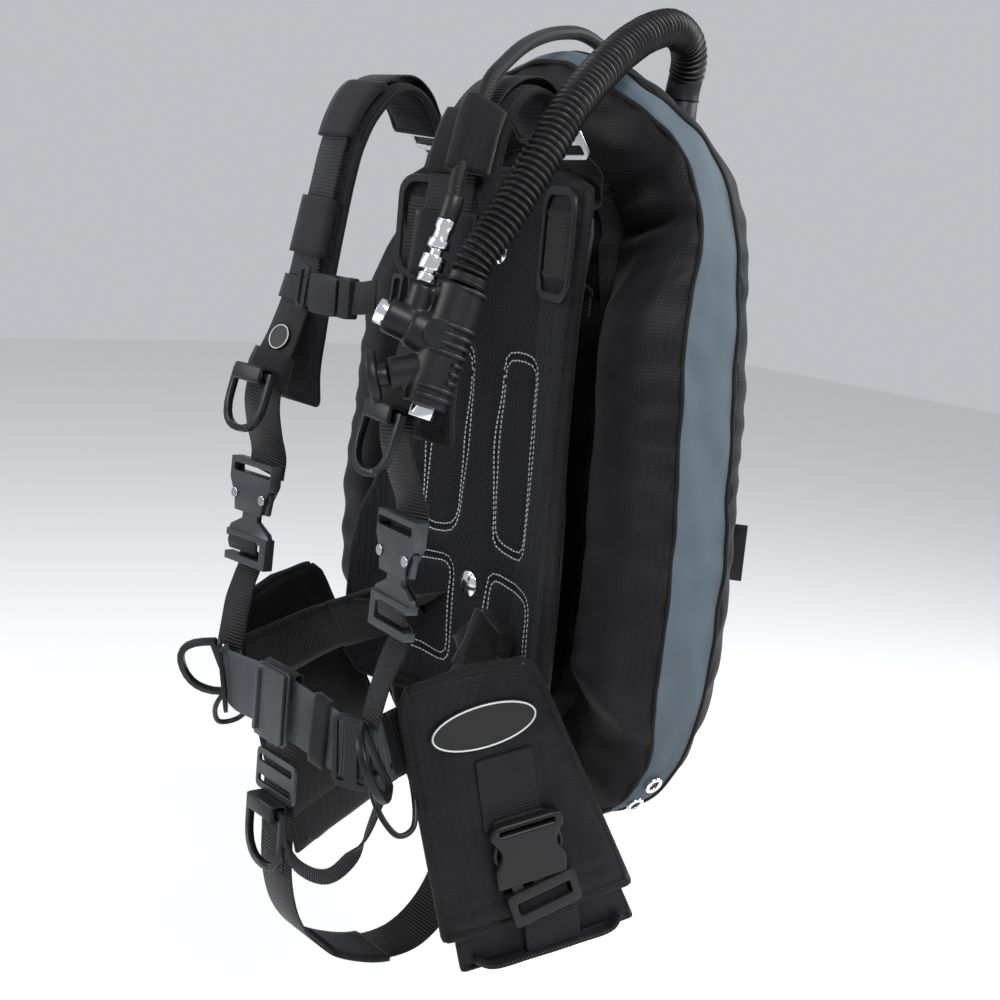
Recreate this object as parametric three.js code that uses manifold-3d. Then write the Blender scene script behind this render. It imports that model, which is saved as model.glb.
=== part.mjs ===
// Back-inflate scuba buoyancy compensator: backplate, pad, donut wing, harness,
// power inflator and two weight pockets. Millimetres; +X diver's left, +Y to the tank, +Z up.
// The origin lies on the wing's tank rest, midway between the two book screws.
import * as THREE from 'three';
import { mergeVertices } from 'three/addons/utils/BufferGeometryUtils.js';
import Module from 'manifold-3d';

const wasm = await Module();
wasm.setup();

// ---- driving dimensions ----
const SCREW_HALF = 139.7;          // book screws stand 11 inches apart
const WEB = 48;                    // main harness webbing, width
const WEB_T = 2.2;                 // main harness webbing, thickness
const PANEL = { front: -5, rear: -2 };          // wing's centre panel, along Y
const PLATE = { front: -12.5, rear: -9.5 };     // backplate's flat middle
const PAD = { front: -31, rear: -16 };          // back pad's flat middle
const TANK_RADIUS = 92;            // common single cylinder
const BAND = { width: 50, thickness: 2.4, side: 50, heights: { upper: 85, lower: -105 } };
const SLOT_HEIGHTS = [122, 180];   // shoulder webbing slots in plate and pad
const SLOT_X = 85;
const WAIST_SLOT = { x: 50, z: -160, tilt: -0.32 };
const CROTCH_SLOT_Z = -222;
const HOSE_RADIUS = 14.5;          // corrugated hose, over its ridges
const LP_RADIUS = 5.5;             // braided low-pressure hose
const COLORS = {
  fabric: 0x17181a, mesh: 0x202123, webbing: 0x1c1d1f, grey: 0x59636b,
  plastic: 0x26282a, metal: 0x6a6c6f, chrome: 0xc9cbcd, rubber: 0x1b1c1d,
};

// ---- small tools ----
const V = (x, y, z) => new THREE.Vector3(x, y, z);
const points = (rows) => rows.map(([x, y, z]) => V(x, y, z));
const group = new THREE.Group();

function add(name, geometry, color, metalness = 0, roughness = 0.8) {
  const material = new THREE.MeshStandardMaterial({ color, metalness, roughness });
  const mesh = new THREE.Mesh(geometry, material);
  mesh.name = name;
  group.add(mesh);
}

function solid(geometry) {
  if (geometry instanceof wasm.Manifold) return geometry;
  const bare = geometry.clone();
  for (const key of Object.keys(bare.attributes)) {
    if (key !== 'position') bare.deleteAttribute(key);
  }
  const merged = mergeVertices(bare, 1e-4);
  return new wasm.Manifold(new wasm.Mesh({
    numProp: 3,
    vertProperties: new Float32Array(merged.attributes.position.array),
    triVerts: new Uint32Array(merged.index.array),
  }));
}

function shell(manifold) {
  const mesh = manifold.getMesh();
  const geometry = new THREE.BufferGeometry();
  geometry.setAttribute('position', new THREE.BufferAttribute(mesh.vertProperties, 3));
  geometry.setIndex(new THREE.BufferAttribute(mesh.triVerts, 1));
  return geometry;
}

const joined = (first, ...rest) => shell(rest.reduce((sum, g) => sum.add(solid(g)), solid(first)));
const cut = (first, ...tools) => shell(tools.reduce((left, g) => left.subtract(solid(g)), solid(first)));

// Left-hand pieces are drawn at +X; the right-hand copy is the mirror image with its faces turned.
function mirrored(geometry) {
  const copy = mergeVertices(geometry.clone().scale(-1, 1, 1), 1e-4);
  const index = copy.index.array;
  for (let i = 0; i < index.length; i += 3) [index[i], index[i + 1]] = [index[i + 1], index[i]];
  return copy;
}

function addPair(base, geometry, color, metalness, roughness) {
  add(`${base}_left`, geometry, color, metalness, roughness);
  add(`${base}_right`, mirrored(geometry), color, metalness, roughness);
}

// A flat outline drawn in (u, v) and given a depth along w, placed by three axes and an origin.
function slab(shape, depth, origin, u, v, segments = 8) {
  const geometry = new THREE.ExtrudeGeometry(shape, { depth, bevelEnabled: false, curveSegments: segments });
  const across = u.clone().normalize();
  const normal = across.clone().cross(v).normalize();
  const up = normal.clone().cross(across);
  const place = new THREE.Matrix4().makeBasis(across, up, normal).setPosition(origin);
  return geometry.applyMatrix4(place);
}

function roundedRect(width, height, radius) {
  const shape = new THREE.Shape();
  const [x, y] = [width / 2, height / 2];
  shape.moveTo(-x + radius, -y).lineTo(x - radius, -y).quadraticCurveTo(x, -y, x, -y + radius);
  shape.lineTo(x, y - radius).quadraticCurveTo(x, y, x - radius, y);
  shape.lineTo(-x + radius, y).quadraticCurveTo(-x, y, -x, y - radius);
  shape.lineTo(-x, -y + radius).quadraticCurveTo(-x, -y, -x + radius, -y);
  return shape;
}

function shapeFrom(rows) {
  return new THREE.Shape(rows.map(([x, y]) => new THREE.Vector2(x, y)));
}

// An upright plate outline in X and Z, extruded along +Y from yFront.
function upright(shape, yFront, yRear) {
  return slab(shape, yRear - yFront, V(0, yRear, 0), V(1, 0, 0), V(0, 0, 1));
}

function cylinder(radius, from, to, sides = 16) {
  const axis = to.clone().sub(from);
  const geometry = new THREE.CylinderGeometry(radius, radius, axis.length(), sides);
  const turn = new THREE.Quaternion().setFromUnitVectors(V(0, 1, 0), axis.clone().normalize());
  return geometry.applyQuaternion(turn).translate(...from.clone().lerp(to, 0.5).toArray());
}

function lathe(profile, origin, axis, sides = 20) {
  const geometry = new THREE.LatheGeometry(profile.map(([r, h]) => new THREE.Vector2(r, h)), sides);
  const turn = new THREE.Quaternion().setFromUnitVectors(V(0, 1, 0), axis.clone().normalize());
  return geometry.applyQuaternion(turn).translate(...origin.toArray());
}

// A flat strap along a curve; each row is a point and, where it changes, a new width direction.
function strap(rows, width = WEB, thickness = WEB_T, steps = 3) {
  const path = new THREE.CatmullRomCurve3(rows.map((row) => V(...row[0])), false, 'centripetal');
  const widths = [];
  rows.forEach((row, i) => widths.push(row[1] ? V(...row[1]) : widths[i - 1].clone()));
  const count = (rows.length - 1) * steps;
  const strip = new THREE.BoxGeometry(width, thickness, count, 1, 1, count);
  const position = strip.attributes.position;
  for (let i = 0; i < position.count; i += 1) {
    const t = Math.min(Math.max(position.getZ(i) / count + 0.5, 0), 1);
    const k = Math.min(Math.floor(t * (rows.length - 1) + 1e-6), rows.length - 2);
    const across = widths[k].clone().lerp(widths[k + 1], t * (rows.length - 1) - k);
    const along = path.getTangent(t);
    across.addScaledVector(along, -across.dot(along)).normalize();
    const normal = along.clone().cross(across);
    const at = path.getPoint(t).addScaledVector(across, position.getX(i));
    at.addScaledVector(normal, position.getY(i));
    position.setXYZ(i, at.x, at.y, at.z);
  }
  return strip;
}

function tube(rows, radius, sides, steps) {
  const path = new THREE.CatmullRomCurve3(points(rows), false, 'centripetal');
  const section = new THREE.Shape(new THREE.Path().absarc(0, 0, radius, 0, Math.PI * 2).getPoints(sides));
  return new THREE.ExtrudeGeometry(section, { steps, extrudePath: path, curveSegments: sides });
}

// D-ring drawn with its straight bar along u through the origin, hanging along -v.
function dRing(width, height, wire, origin, u, v) {
  const outline = (w, top, bottom) => {
    const path = new THREE.Path();
    path.moveTo(-w, top).lineTo(-w, bottom + w * 1.05);
    path.bezierCurveTo(-w, bottom + w * 0.3, -w * 0.6, bottom, 0, bottom);
    path.bezierCurveTo(w * 0.6, bottom, w, bottom + w * 0.3, w, bottom + w * 1.05);
    path.lineTo(w, top).lineTo(-w, top);
    return path;
  };
  const half = wire / 2;
  const shape = new THREE.Shape(outline(width / 2, half, -height).getPoints(6));
  shape.holes.push(outline(width / 2 - wire, -half, wire - height));
  const normal = u.clone().cross(v).normalize();
  return slab(shape, wire, origin.clone().addScaledVector(normal, -half), u, v, 6);
}

// ---- plate and pad: flat in the middle, their sides bent towards the diver ----
const BEND = [[0, 0], [60, 0], [108, 16], [150, 47]];

function bentSlab(yFront, yRear, zLow, zHigh) {
  const right = BEND.map(([x, b]) => [Math.min(x, 149.9), b]);
  const edge = [...right.slice(1).reverse().map(([x, b]) => [-x, b]), ...right];
  const shape = new THREE.Shape();
  edge.forEach(([x, b], i) => (i ? shape.lineTo(x, yRear - b) : shape.moveTo(x, yRear - b)));
  edge.reverse().forEach(([x, b]) => shape.lineTo(x, yFront - b));
  const made = new THREE.ExtrudeGeometry(shape, { depth: zHigh - zLow, bevelEnabled: false });
  return made.translate(0, 0, zLow);
}

// Half outline of the pad, top to bottom; the plate is the same, set in by a margin.
const PAD_EDGE = [[0, 201], [60, 201], [98, 200], [113, 190], [118, 172], [112, 140], [107, 100], [107, 50],
  [109, 0], [114, -50], [122, -78], [131, -104], [135, -135], [136, -190], [135, -232], [124, -248],
  [0, -250]];
function halfOutline(inset) {
  const rows = PAD_EDGE.map(([x, z]) => [Math.max(x - inset, 0), z > 0 ? z - inset : z + inset]);
  const shape = new THREE.Shape();
  rows.forEach(([x, z], i) => (i ? shape.lineTo(x, z) : shape.moveTo(x, z)));
  rows.slice(1, -1).reverse().forEach(([x, z]) => shape.lineTo(-x, z));
  return shape;
}

function slotCutter(x, z, width, height, tilt = 0) {
  const outline = roundedRect(width, height, Math.min(width, height) * 0.4);
  const across = V(Math.cos(tilt), 0, Math.sin(tilt));
  return slab(outline, 120, V(x, 20, z), across, V(-Math.sin(tilt), 0, Math.cos(tilt)), 4);
}
const screwCutter = (radius, z) => cylinder(radius, V(0, -40, z), V(0, 20, z), 16);
const bothSides = (make) => [-1, 1].map(make);

function plateCutters(grow) {
  const shoulder = SLOT_HEIGHTS.flatMap((z) => bothSides((s) =>
    slotCutter(s * SLOT_X, z, 54 + grow, 14 + grow)));
  const waist = bothSides((s) =>
    slotCutter(s * WAIST_SLOT.x, WAIST_SLOT.z, 54 + grow, 14 + grow, s * WAIST_SLOT.tilt));
  return [...shoulder, ...waist];
}

function plateGeometry() {
  const blank = solid(bentSlab(PLATE.front, PLATE.rear, -260, 210)).intersect(
    solid(upright(halfOutline(11), -90, 10)));
  const bands = Object.values(BAND.heights).flatMap((z) => bothSides((s) =>
    slotCutter(s * BAND.side, z, 12, BAND.width + 5)));
  const crotch = slotCutter(0, CROTCH_SLOT_Z, 54, 14);
  const screws = [-SCREW_HALF, SCREW_HALF].map((z) => screwCutter(4.6, z));
  return cut(blank, ...plateCutters(0), ...bands, crotch, ...screws);
}

function padGeometry() {
  const blank = solid(bentSlab(PAD.front, PAD.rear, -260, 210)).intersect(
    solid(upright(halfOutline(0), -90, 10)));
  const screws = [-SCREW_HALF, SCREW_HALF].map((z) => screwCutter(5.2, z));
  return cut(blank, ...plateCutters(3), ...screws);
}

add('backplate', plateGeometry(), COLORS.metal, 0.9, 0.4);
add('back_pad', padGeometry(), COLORS.mesh);

// ---- wing: an inflated ring, thickest at the sides, sewn round a flat centre panel ----
const WING_OUTER = [[0, 304], [45, 296], [90, 278], [128, 256], [157, 232], [178, 200], [191, 160],
  [198, 115],
  [203, 60], [208, 0], [213, -60], [215, -110], [213, -160], [207, -205], [196, -243], [178, -274],
  [150, -300],
  [112, -318], [60, -328], [0, -331]];
const WING_INNER = [[0, 192], [14, 191], [28, 188], [40, 181], [50, 170], [57, 154], [60, 130], [61, 100],
  [62, 50], [62, 0], [63, -50], [63, -95], [62, -135], [60, -165], [56, -188], [49, -204], [40, -215],
  [28, -222], [14, -226], [0, -228]];
// Section through a lobe: share of the way from outer to inner edge, and distance along Y.
const LOBE = [[0.012, -6], [0.08, -27], [0.2, -42], [0.36, -46], [0.5, -34], [0.62, -17], [0.72, -7],
  [0.84, -5], [1, -5], [0.985, 4], [0.93, 20], [0.79, 46], [0.68, 72], [0.55, 89], [0.4, 95], [0.22, 87],
  [0.08, 69], [0.012, 50], [0, 22]];
const WING_Y = 22;

// The lobes thin out over the top and under the bottom, above all on the diver's side.
function lobeThickness(z, front) {
  const top = THREE.MathUtils.smoothstep(z, front ? 90 : 130, front ? 190 : 270);
  const bottom = THREE.MathUtils.smoothstep(-z, front ? 170 : 180, front ? 250 : 310);
  return front ? 1 - 0.6 * top - 0.62 * bottom : 1 - 0.2 * top - 0.16 * bottom;
}

function wholeLoop(half) {
  return [...half, ...half.slice(1, -1).reverse().map(([x, z]) => [-x, z])];
}

function ringGeometry() {
  const outer = wholeLoop(WING_OUTER);
  const inner = wholeLoop(WING_INNER);
  const vertices = outer.flatMap(([x, z], i) => LOBE.flatMap(([share, y]) => {
    const thick = y < -4 && share > 0.7 ? 1 : lobeThickness(z, y < WING_Y);
    return [x + (inner[i][0] - x) * share, WING_Y + (y - WING_Y) * thick, z + (inner[i][1] - z) * share];
  }));
  const index = [];
  const [rows, cols] = [outer.length, LOBE.length];
  for (let i = 0; i < rows; i += 1) {
    for (let j = 0; j < cols; j += 1) {
      const [a, b] = [i * cols + j, i * cols + ((j + 1) % cols)];
      const [c, d] = [((i + 1) % rows) * cols + ((j + 1) % cols), ((i + 1) % rows) * cols + j];
      index.push(a, b, c, a, c, d);
    }
  }
  const ring = new THREE.BufferGeometry();
  ring.setAttribute('position', new THREE.BufferAttribute(new Float32Array(vertices), 3));
  return ring.setIndex(index);
}

function wingGeometry() {
  const panelShape = new THREE.Shape();
  wholeLoop(WING_INNER).forEach(([x, z], i) => {
    const grow = [x * 1.12, z * 1.03];
    return i ? panelShape.lineTo(...grow) : panelShape.moveTo(...grow);
  });
  const panel = upright(panelShape, PANEL.front, PANEL.rear);
  const rest = upright(roundedRect(64, 190, 8), PANEL.rear - 1, 0);
  const bands = Object.values(BAND.heights).flatMap((z) => bothSides((s) =>
    slotCutter(s * BAND.side, z, 12, BAND.width + 5)));
  const screws = [-SCREW_HALF, SCREW_HALF].map((z) => screwCutter(4.6, z));
  return cut(joined(ringGeometry(), panel, rest), ...bands, ...screws);
}
add('wing', wingGeometry(), COLORS.fabric);

// ---- book screws through pad, plate and wing ----
const SCREW = [[0, -35], [5, -35], [7.5, -34], [11.5, -33], [11.5, -31.4], [4, -31.4], [4, -1.6], [9, -1.6],
  [9, 1.4], [0, 1.4]];
add('upper_book_screw', lathe(SCREW, V(0, 0, SCREW_HALF), V(0, 1, 0)), COLORS.chrome, 1, 0.2);
add('lower_book_screw', lathe(SCREW, V(0, 0, -SCREW_HALF), V(0, 1, 0)), COLORS.chrome, 1, 0.2);

// ---- tank bands: round the cylinder and across the front of the plate ----
const LEVER_ANGLE = 0.42;          // where the cam buckle sits, turned from the rearmost point to the left
function bandGeometry(z) {
  const loop = (offset) => {
    const path = new THREE.Path();
    const radius = TANK_RADIUS + 1.6 + offset;
    const y = PLATE.front - 0.5 - offset;
    const x = BAND.side - 3 + offset;
    path.moveTo(-x, y).lineTo(x, y).lineTo(x, 2);
    path.absarc(0, TANK_RADIUS, radius, -0.72, Math.PI + 0.72, false);
    path.lineTo(-x, 2).lineTo(-x, y);
    return path;
  };
  const shape = new THREE.Shape(loop(BAND.thickness).getPoints(14));
  shape.holes.push(new THREE.Path(loop(0).getPoints(14)));
  return new THREE.ExtrudeGeometry(shape, { depth: BAND.width, bevelEnabled: false })
    .translate(0, 0, z - BAND.width / 2);
}

function camFrame(z) {
  const out = V(Math.sin(LEVER_ANGLE), Math.cos(LEVER_ANGLE), 0);
  const across = V(Math.cos(LEVER_ANGLE), -Math.sin(LEVER_ANGLE), 0);
  const seat = V(0, TANK_RADIUS, z).addScaledVector(out, TANK_RADIUS + 1.6 + BAND.thickness + 0.4);
  return { out, across, seat };
}

// The lever turns on a pin at its inner end and closes on the band. The lower band's free tail stands out of
// it, and the upper one's is folded back flat over it.
function leverGeometry(z) {
  const { out, across, seat } = camFrame(z);
  const side = new THREE.Shape();
  side.moveTo(-2, 2).quadraticCurveTo(-2, 8, 4, 9).lineTo(30, 8).quadraticCurveTo(46, 8, 56, -1);
  side.lineTo(54, -5).quadraticCurveTo(42, 4, 28, 4).lineTo(6, 3);
  side.lineTo(4, 1.5).lineTo(0, 1.5).lineTo(-2, 2);
  const lever = slab(side, 54, seat.clone().add(V(0, 0, -27)), across, out, 5);
  const standing = [[30, 6], [34, 6], [43, 20], [51, 36], [48.4, 37.4], [40.6, 21.4]];
  const folded = [[8, 7], [50, 5], [51, 7.5], [30, 11], [8, 11]];
  const tail = slab(shapeFrom(z > 0 ? folded : standing), BAND.width,
    seat.clone().add(V(0, 0, -BAND.width / 2)), across, out);
  return joined(lever, tail);
}
for (const [name, z] of Object.entries(BAND.heights)) {
  add(`${name}_tank_band`, bandGeometry(z), COLORS.webbing);
  add(`${name}_cam_lever`, leverGeometry(z), COLORS.plastic, 0, 0.5);
}

// ---- shoulder straps ----
const ON_PLATE = [0.949, -0.316, 0];
const slotPass = (z, step) => [[-16, -7], [-19.5, -2.5], [-26, 0], [-34, 0.8], [-39.5, 4], [-41.8, 10]]
  .map(([y, dz]) => [[SLOT_X, y, z + step * dz]]);
const SHOULDER_ROUTE = [
  [[SLOT_X, -15.4, 98], ON_PLATE], ...slotPass(SLOT_HEIGHTS[0], 1), [[SLOT_X, -42, 151]],
  ...slotPass(SLOT_HEIGHTS[1], -1).reverse(), [[SLOT_X, -15.4, 194], ON_PLATE],
  [[85, -18, 204], ON_PLATE], [[85, -26, 211], [0.98, -0.2, 0]], [[84.5, -37, 216], [1, 0, 0]],
  [[84, -48, 226]], [[83, -59, 243]], [[82, -70, 259]], [[82, -86, 269.5]], [[82, -104, 268]],
  [[83, -121, 257]], [[84, -134, 238], [0.995, 0.08, 0]], [[85, -143, 212], [0.99, 0.13, 0]],
  [[86, -149, 180], [0.99, 0.13, 0]], [[88, -155, 140], [0.995, 0.1, 0]], [[90, -162, 95], [0.998, 0.05, 0]],
  [[92, -172, 60], [1, 0, 0]], [[94, -183, 30], [0.997, -0.08, 0]], [[97, -186, 3], [0.994, -0.1, 0]],
  [[101, -180, -22]], [[104.2, -172.4, -44]], [[106.2, -172, -60]],
];
addPair('shoulder_webbing', strap(SHOULDER_ROUTE, WEB, WEB_T, 2), COLORS.webbing);

const SHOULDER_PAD_ROUTE = [
  [[84, -63, 229], [1, 0, 0]], [[83, -71, 243]], [[82, -80, 253]], [[82, -91, 259]], [[82, -104, 257.5]],
  [[83, -116, 248]], [[84, -126, 231], [0.995, 0.08, 0]], [[85, -133.5, 208], [0.99, 0.13, 0]],
  [[86, -139, 180], [0.99, 0.13, 0]], [[88, -145, 140], [0.995, 0.1, 0]], [[90, -151, 98], [0.998, 0.05, 0]],
  [[91, -156, 60], [1, 0, 0]], [[92, -158, 30]], [[92, -156, 5]],
];
addPair('shoulder_pad', strap(SHOULDER_PAD_ROUTE, 56, 12, 2), COLORS.mesh);

// ---- shoulder D-rings in their keepers ----
const CHEST = { u: V(0.997, -0.08, 0), v: V(0.02, 0.25, 0.97) };
const RING_AT = V(95, -196.5, 24);
function keeperGeometry(at, u, v, width) {
  const section = roundedRect(16, 14, 3);
  section.holes.push(new THREE.Path(roundedRect(9, 9, 1).getPoints(2)));
  const normal = u.clone().cross(v).normalize();
  const seat = at.clone().addScaledVector(u.clone().normalize(), width / 2);
  return slab(section, width, seat, normal, v, 3);
}
addPair('ring_keeper', keeperGeometry(RING_AT, CHEST.u, CHEST.v, 36), COLORS.plastic, 0, 0.6);
addPair('shoulder_ring', dRing(54, 48, 5.5, RING_AT, CHEST.u, CHEST.v), COLORS.metal, 0.9, 0.35);

// ---- quick-release buckles of the shoulder straps ----
const BUCKLE = { at: V(107, -182, -76), u: V(0.994, -0.1, 0), v: V(-0.09, 0.04, 0.995) };
BUCKLE.n = BUCKLE.u.clone().cross(BUCKLE.v).normalize();   // away from the diver's chest is -n
const inBuckle = (x, y, n = 0) => BUCKLE.at.clone().addScaledVector(BUCKLE.u, x)
  .addScaledVector(BUCKLE.v, y).addScaledVector(BUCKLE.n, n);

function buckleSlab(shape, thickness, offset = 0) {
  return slab(shape, thickness, inBuckle(0, 0, offset - thickness / 2), BUCKLE.u, BUCKLE.v, 5);
}

function frameGeometry() {
  const body = buckleSlab(shapeFrom([[-28, 26], [28, 26], [28, 8], [20, -6], [18, -18], [-18, -18],
    [-20, -6], [-28, 8]]), 11);
  const slot = buckleSlab(roundedRect(51, 7, 2), 30);
  const slotAt = BUCKLE.v.clone().multiplyScalar(18);
  const mouth = buckleSlab(shapeFrom([[-11.5, -30], [11.5, -30], [11.5, -2], [-11.5, -2]]), 5.4);
  const windows = bothSides((s) => buckleSlab(shapeFrom(
    [[11, -19], [30, -19], [30, 3], [16.6, 3], [11, -5]].map(([x, y]) => [s * x, y])), 6));
  return cut(body, slot.translate(...slotAt.toArray()), mouth, ...windows);
}

function tongueGeometry() {
  const neck = buckleSlab(shapeFrom([[-10.5, -4], [-10.5, -24], [-26, -32], [-28, -36], [-28, -60],
    [28, -60], [28, -36], [26, -32], [10.5, -24], [10.5, -4]]), 4.6);
  const rim = buckleSlab(shapeFrom([[-28, -36], [-28, -62], [28, -62], [28, -36]]), 9);
  const drop = BUCKLE.v.clone().multiplyScalar(-49);
  const slot = buckleSlab(roundedRect(49, 14, 2), 30).translate(drop.x, drop.y, drop.z);
  return cut(joined(neck, rim), slot);
}

// Each side clip is a small lever on an upright pin through the frame.
function clipGeometry(s) {
  const clip = [[12.6, -4], [17.5, 2], [24, 2], [25, -4], [23, -16], [13.4, -17.5]];
  const rows = clip.map(([x, y]) => [s * x, y]);
  return buckleSlab(shapeFrom(s > 0 ? rows.reverse() : rows), 4.6);
}
addPair('buckle_frame', frameGeometry(), COLORS.metal, 0.8, 0.45);
addPair('buckle_tongue', tongueGeometry(), COLORS.metal, 0.8, 0.45);
addPair('buckle_outer_clip', clipGeometry(1), COLORS.metal, 0.8, 0.45);
addPair('buckle_inner_clip', clipGeometry(-1), COLORS.metal, 0.8, 0.45);

// The lower straps hang from the tongues and end in slack above the belt.
const LOWER_ROUTE = [[[111.3, -184, -125], [0.994, -0.1, 0]], [[111.6, -181, -128]],
  [[112.4, -177.8, -133]], [[112.8, -178.5, -141]], [[112.8, -181, -149]]];
addPair('lower_webbing', strap(LOWER_ROUTE, WEB - 2, WEB_T, 3), COLORS.webbing);

// ---- waist belt ----
const BELT_ROUTE = [[[54.8, -7.2, -144], [0.949, 0, -0.315]], [[52.2, -7.2, -153]], [[51, -9.6, -157]],
  [[50.4, -13.4, -159.3]], [[50.3, -19, -160.6]], [[51, -27, -161.5]], [[52, -36, -163]], [[54, -46, -168]],
  [[61, -60, -176], [0.85, 0.1, -0.52]], [[76, -74, -184], [0.6, 0.27, -0.75]],
  [[93, -88, -192], [0.35, 0.38, -0.85]], [[104, -108, -201], [0.2, 0.42, -0.88]],
  [[108, -135, -212], [0.1, 0.42, -0.9]], [[110, -168, -223], [0.1, 0.42, -0.9]],
  [[109, -190, -229], [0.1, 0.4, -0.91]], [[98, -202, -230], [0.05, 0.2, -0.98]],
  [[75, -207, -228], [0, 0.05, -1]], [[40, -208, -225], [0, 0, -1]], [[1.6, -208, -223]]];
addPair('waist_belt', strap(BELT_ROUTE, WEB, WEB_T, 2), COLORS.grey);

const BELT_AT = V(0, -213, -223);
const across = V(1, 0, 0);
const upward = V(0, 0, 1);
function beltFrameGeometry() {
  const rim = roundedRect(46, 60, 4);
  rim.holes.push(new THREE.Path(roundedRect(30, 44, 3).getPoints(3)));
  return slab(rim, 2.4, V(0, BELT_AT.y - 1, BELT_AT.z), across, upward, 4);
}
function beltPlateGeometry() {
  const face = slab(roundedRect(40, 58, 3), 2.4, V(0, BELT_AT.y - 3.8, BELT_AT.z), across, upward, 4);
  const lip = slab(roundedRect(4, 50, 1.5), 3, V(-17, BELT_AT.y - 1.9 - 3.8, BELT_AT.z), across, upward, 3);
  return joined(face, lip);
}
add('belt_buckle_frame', beltFrameGeometry(), COLORS.metal, 0.8, 0.45);
add('belt_buckle_plate', beltPlateGeometry(), COLORS.metal, 0.8, 0.45);

// Hip D-rings stand out from the belt on a bar as tall as the webbing.
const HIP = { at: V(117, -195.5, -229), u: V(0.12, 0.45, -0.885), out: V(0.8, -0.6, -0.19) };
addPair('hip_ring', dRing(60, 40, 5.5, HIP.at, HIP.u, HIP.out.clone().negate()), COLORS.metal, 0.9, 0.35);

// ---- crotch strap, D-ring and keeper ----
const CROTCH_ROUTE = [[[0, -7.2, -204], [1, 0, 0]], [[0, -7.6, -214]], [[0, -10.9, -222]],
  [[0, -14.1, -229]],
  [[0, -14.4, -240]], [[0, -15, -262]], [[0, -14, -300]], [[0, -14, -340]], [[0, -22, -390]],
  [[0, -40, -428]],
  [[0, -68, -450]], [[0, -100, -454]], [[0, -132, -447]], [[0, -165, -431]], [[0, -188, -405]],
  [[0, -200, -370]], [[0, -203, -330]], [[0, -203.6, -290]], [[0, -203.8, -250]], [[0, -203.8, -215]],
  [[0, -203.8, -198]], [[0, -205, -194.4]], [[0, -207.7, -193]], [[0, -210.4, -194.4]], [[0, -211.6, -198]],
  [[0, -211.6, -210]]];
add('crotch_strap', strap(CROTCH_ROUTE, WEB, 1.8, 2), COLORS.webbing);
const CROTCH_RING = V(0, -214, -308);
add('crotch_keeper', keeperGeometry(CROTCH_RING, across, upward, 38), COLORS.plastic, 0, 0.6);
add('crotch_ring', dRing(56, 52, 5.5, CROTCH_RING, across, upward), COLORS.metal, 0.9, 0.35);

// ---- chest strap and its side-release buckle ----
const CHEST_STRAP = { y: -176, z: 98, width: 25 };
function chestStrap(rows) {
  return strap(rows.map((p, i) => [p, i ? undefined : [0, 0.1, 1]]), CHEST_STRAP.width, 1.8, 2);
}
const CHEST_RIGHT = [[-63, -171, 97], [-52, -174, 96], [-44.5, -175.6, 96]];
const CHEST_LEFT = [[13.4, -176.5, 97.5], [26, -176.5, 99], [40, -175, 102]];
add('chest_strap_right', chestStrap(CHEST_RIGHT), COLORS.webbing);
add('chest_strap_left', chestStrap(CHEST_LEFT), COLORS.webbing);
function chestHousing() {
  const body = slab(roundedRect(38, 31, 5), 11, V(-25, CHEST_STRAP.y + 5.5, 96), across, upward, 4);
  const bore = new THREE.BoxGeometry(30, 23, 6.4).rotateX(Math.PI / 2).translate(-20.9, CHEST_STRAP.y, 96);
  return cut(body, bore.translate(0.2, 0, 0));
}
function chestProngs() {
  const head = slab(roundedRect(15, 31, 3), 9, V(4.2, CHEST_STRAP.y + 4.5, 96.4), across, upward, 4);
  const prong = (z) => new THREE.BoxGeometry(30, 4.4, 5).translate(-16, CHEST_STRAP.y, 96.2 + z);
  const guide = new THREE.BoxGeometry(24, 4.4, 4).translate(-13, CHEST_STRAP.y, 96.2);
  return joined(head, prong(7.4), prong(-7.4), guide);
}
add('chest_buckle_female', chestHousing(), COLORS.plastic, 0, 0.5);
add('chest_buckle_male', chestProngs(), COLORS.plastic, 0, 0.5);

// ---- weight pockets: a tapered sleeve, open at the bottom, and the pouch inside it ----
const POCKET = {
  top: V(147, -138.3, -167.8),
  down: V(0.0366, 0.4025, -0.9147),
  across: V(0.284, 0.874, 0.396),
};
POCKET.out = V(0.9588, -0.2743, -0.0823);
const POCKET_FACE = [[-50, -16], [50, 5], [59, 14], [78, 232], [-78, 208], [-60, -2]];
const POCKET_BACK = 17;
function inPocket(w, h, n = 0) {
  return POCKET.top.clone().addScaledVector(POCKET.across, w).addScaledVector(POCKET.down, h)
    .addScaledVector(POCKET.out, n);
}
function pocketSlab(shape, back, front) {
  return slab(shape, front - back, inPocket(0, 0, back), POCKET.across, POCKET.down.clone().negate(), 5);
}
const pocketShape = (rows) => shapeFrom(rows.map(([w, h]) => [w, -h]));
const centred = (shape, w, h, back, front) => slab(shape, front - back, inPocket(w, h, back),
  POCKET.across, POCKET.down.clone().negate(), 4);

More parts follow.
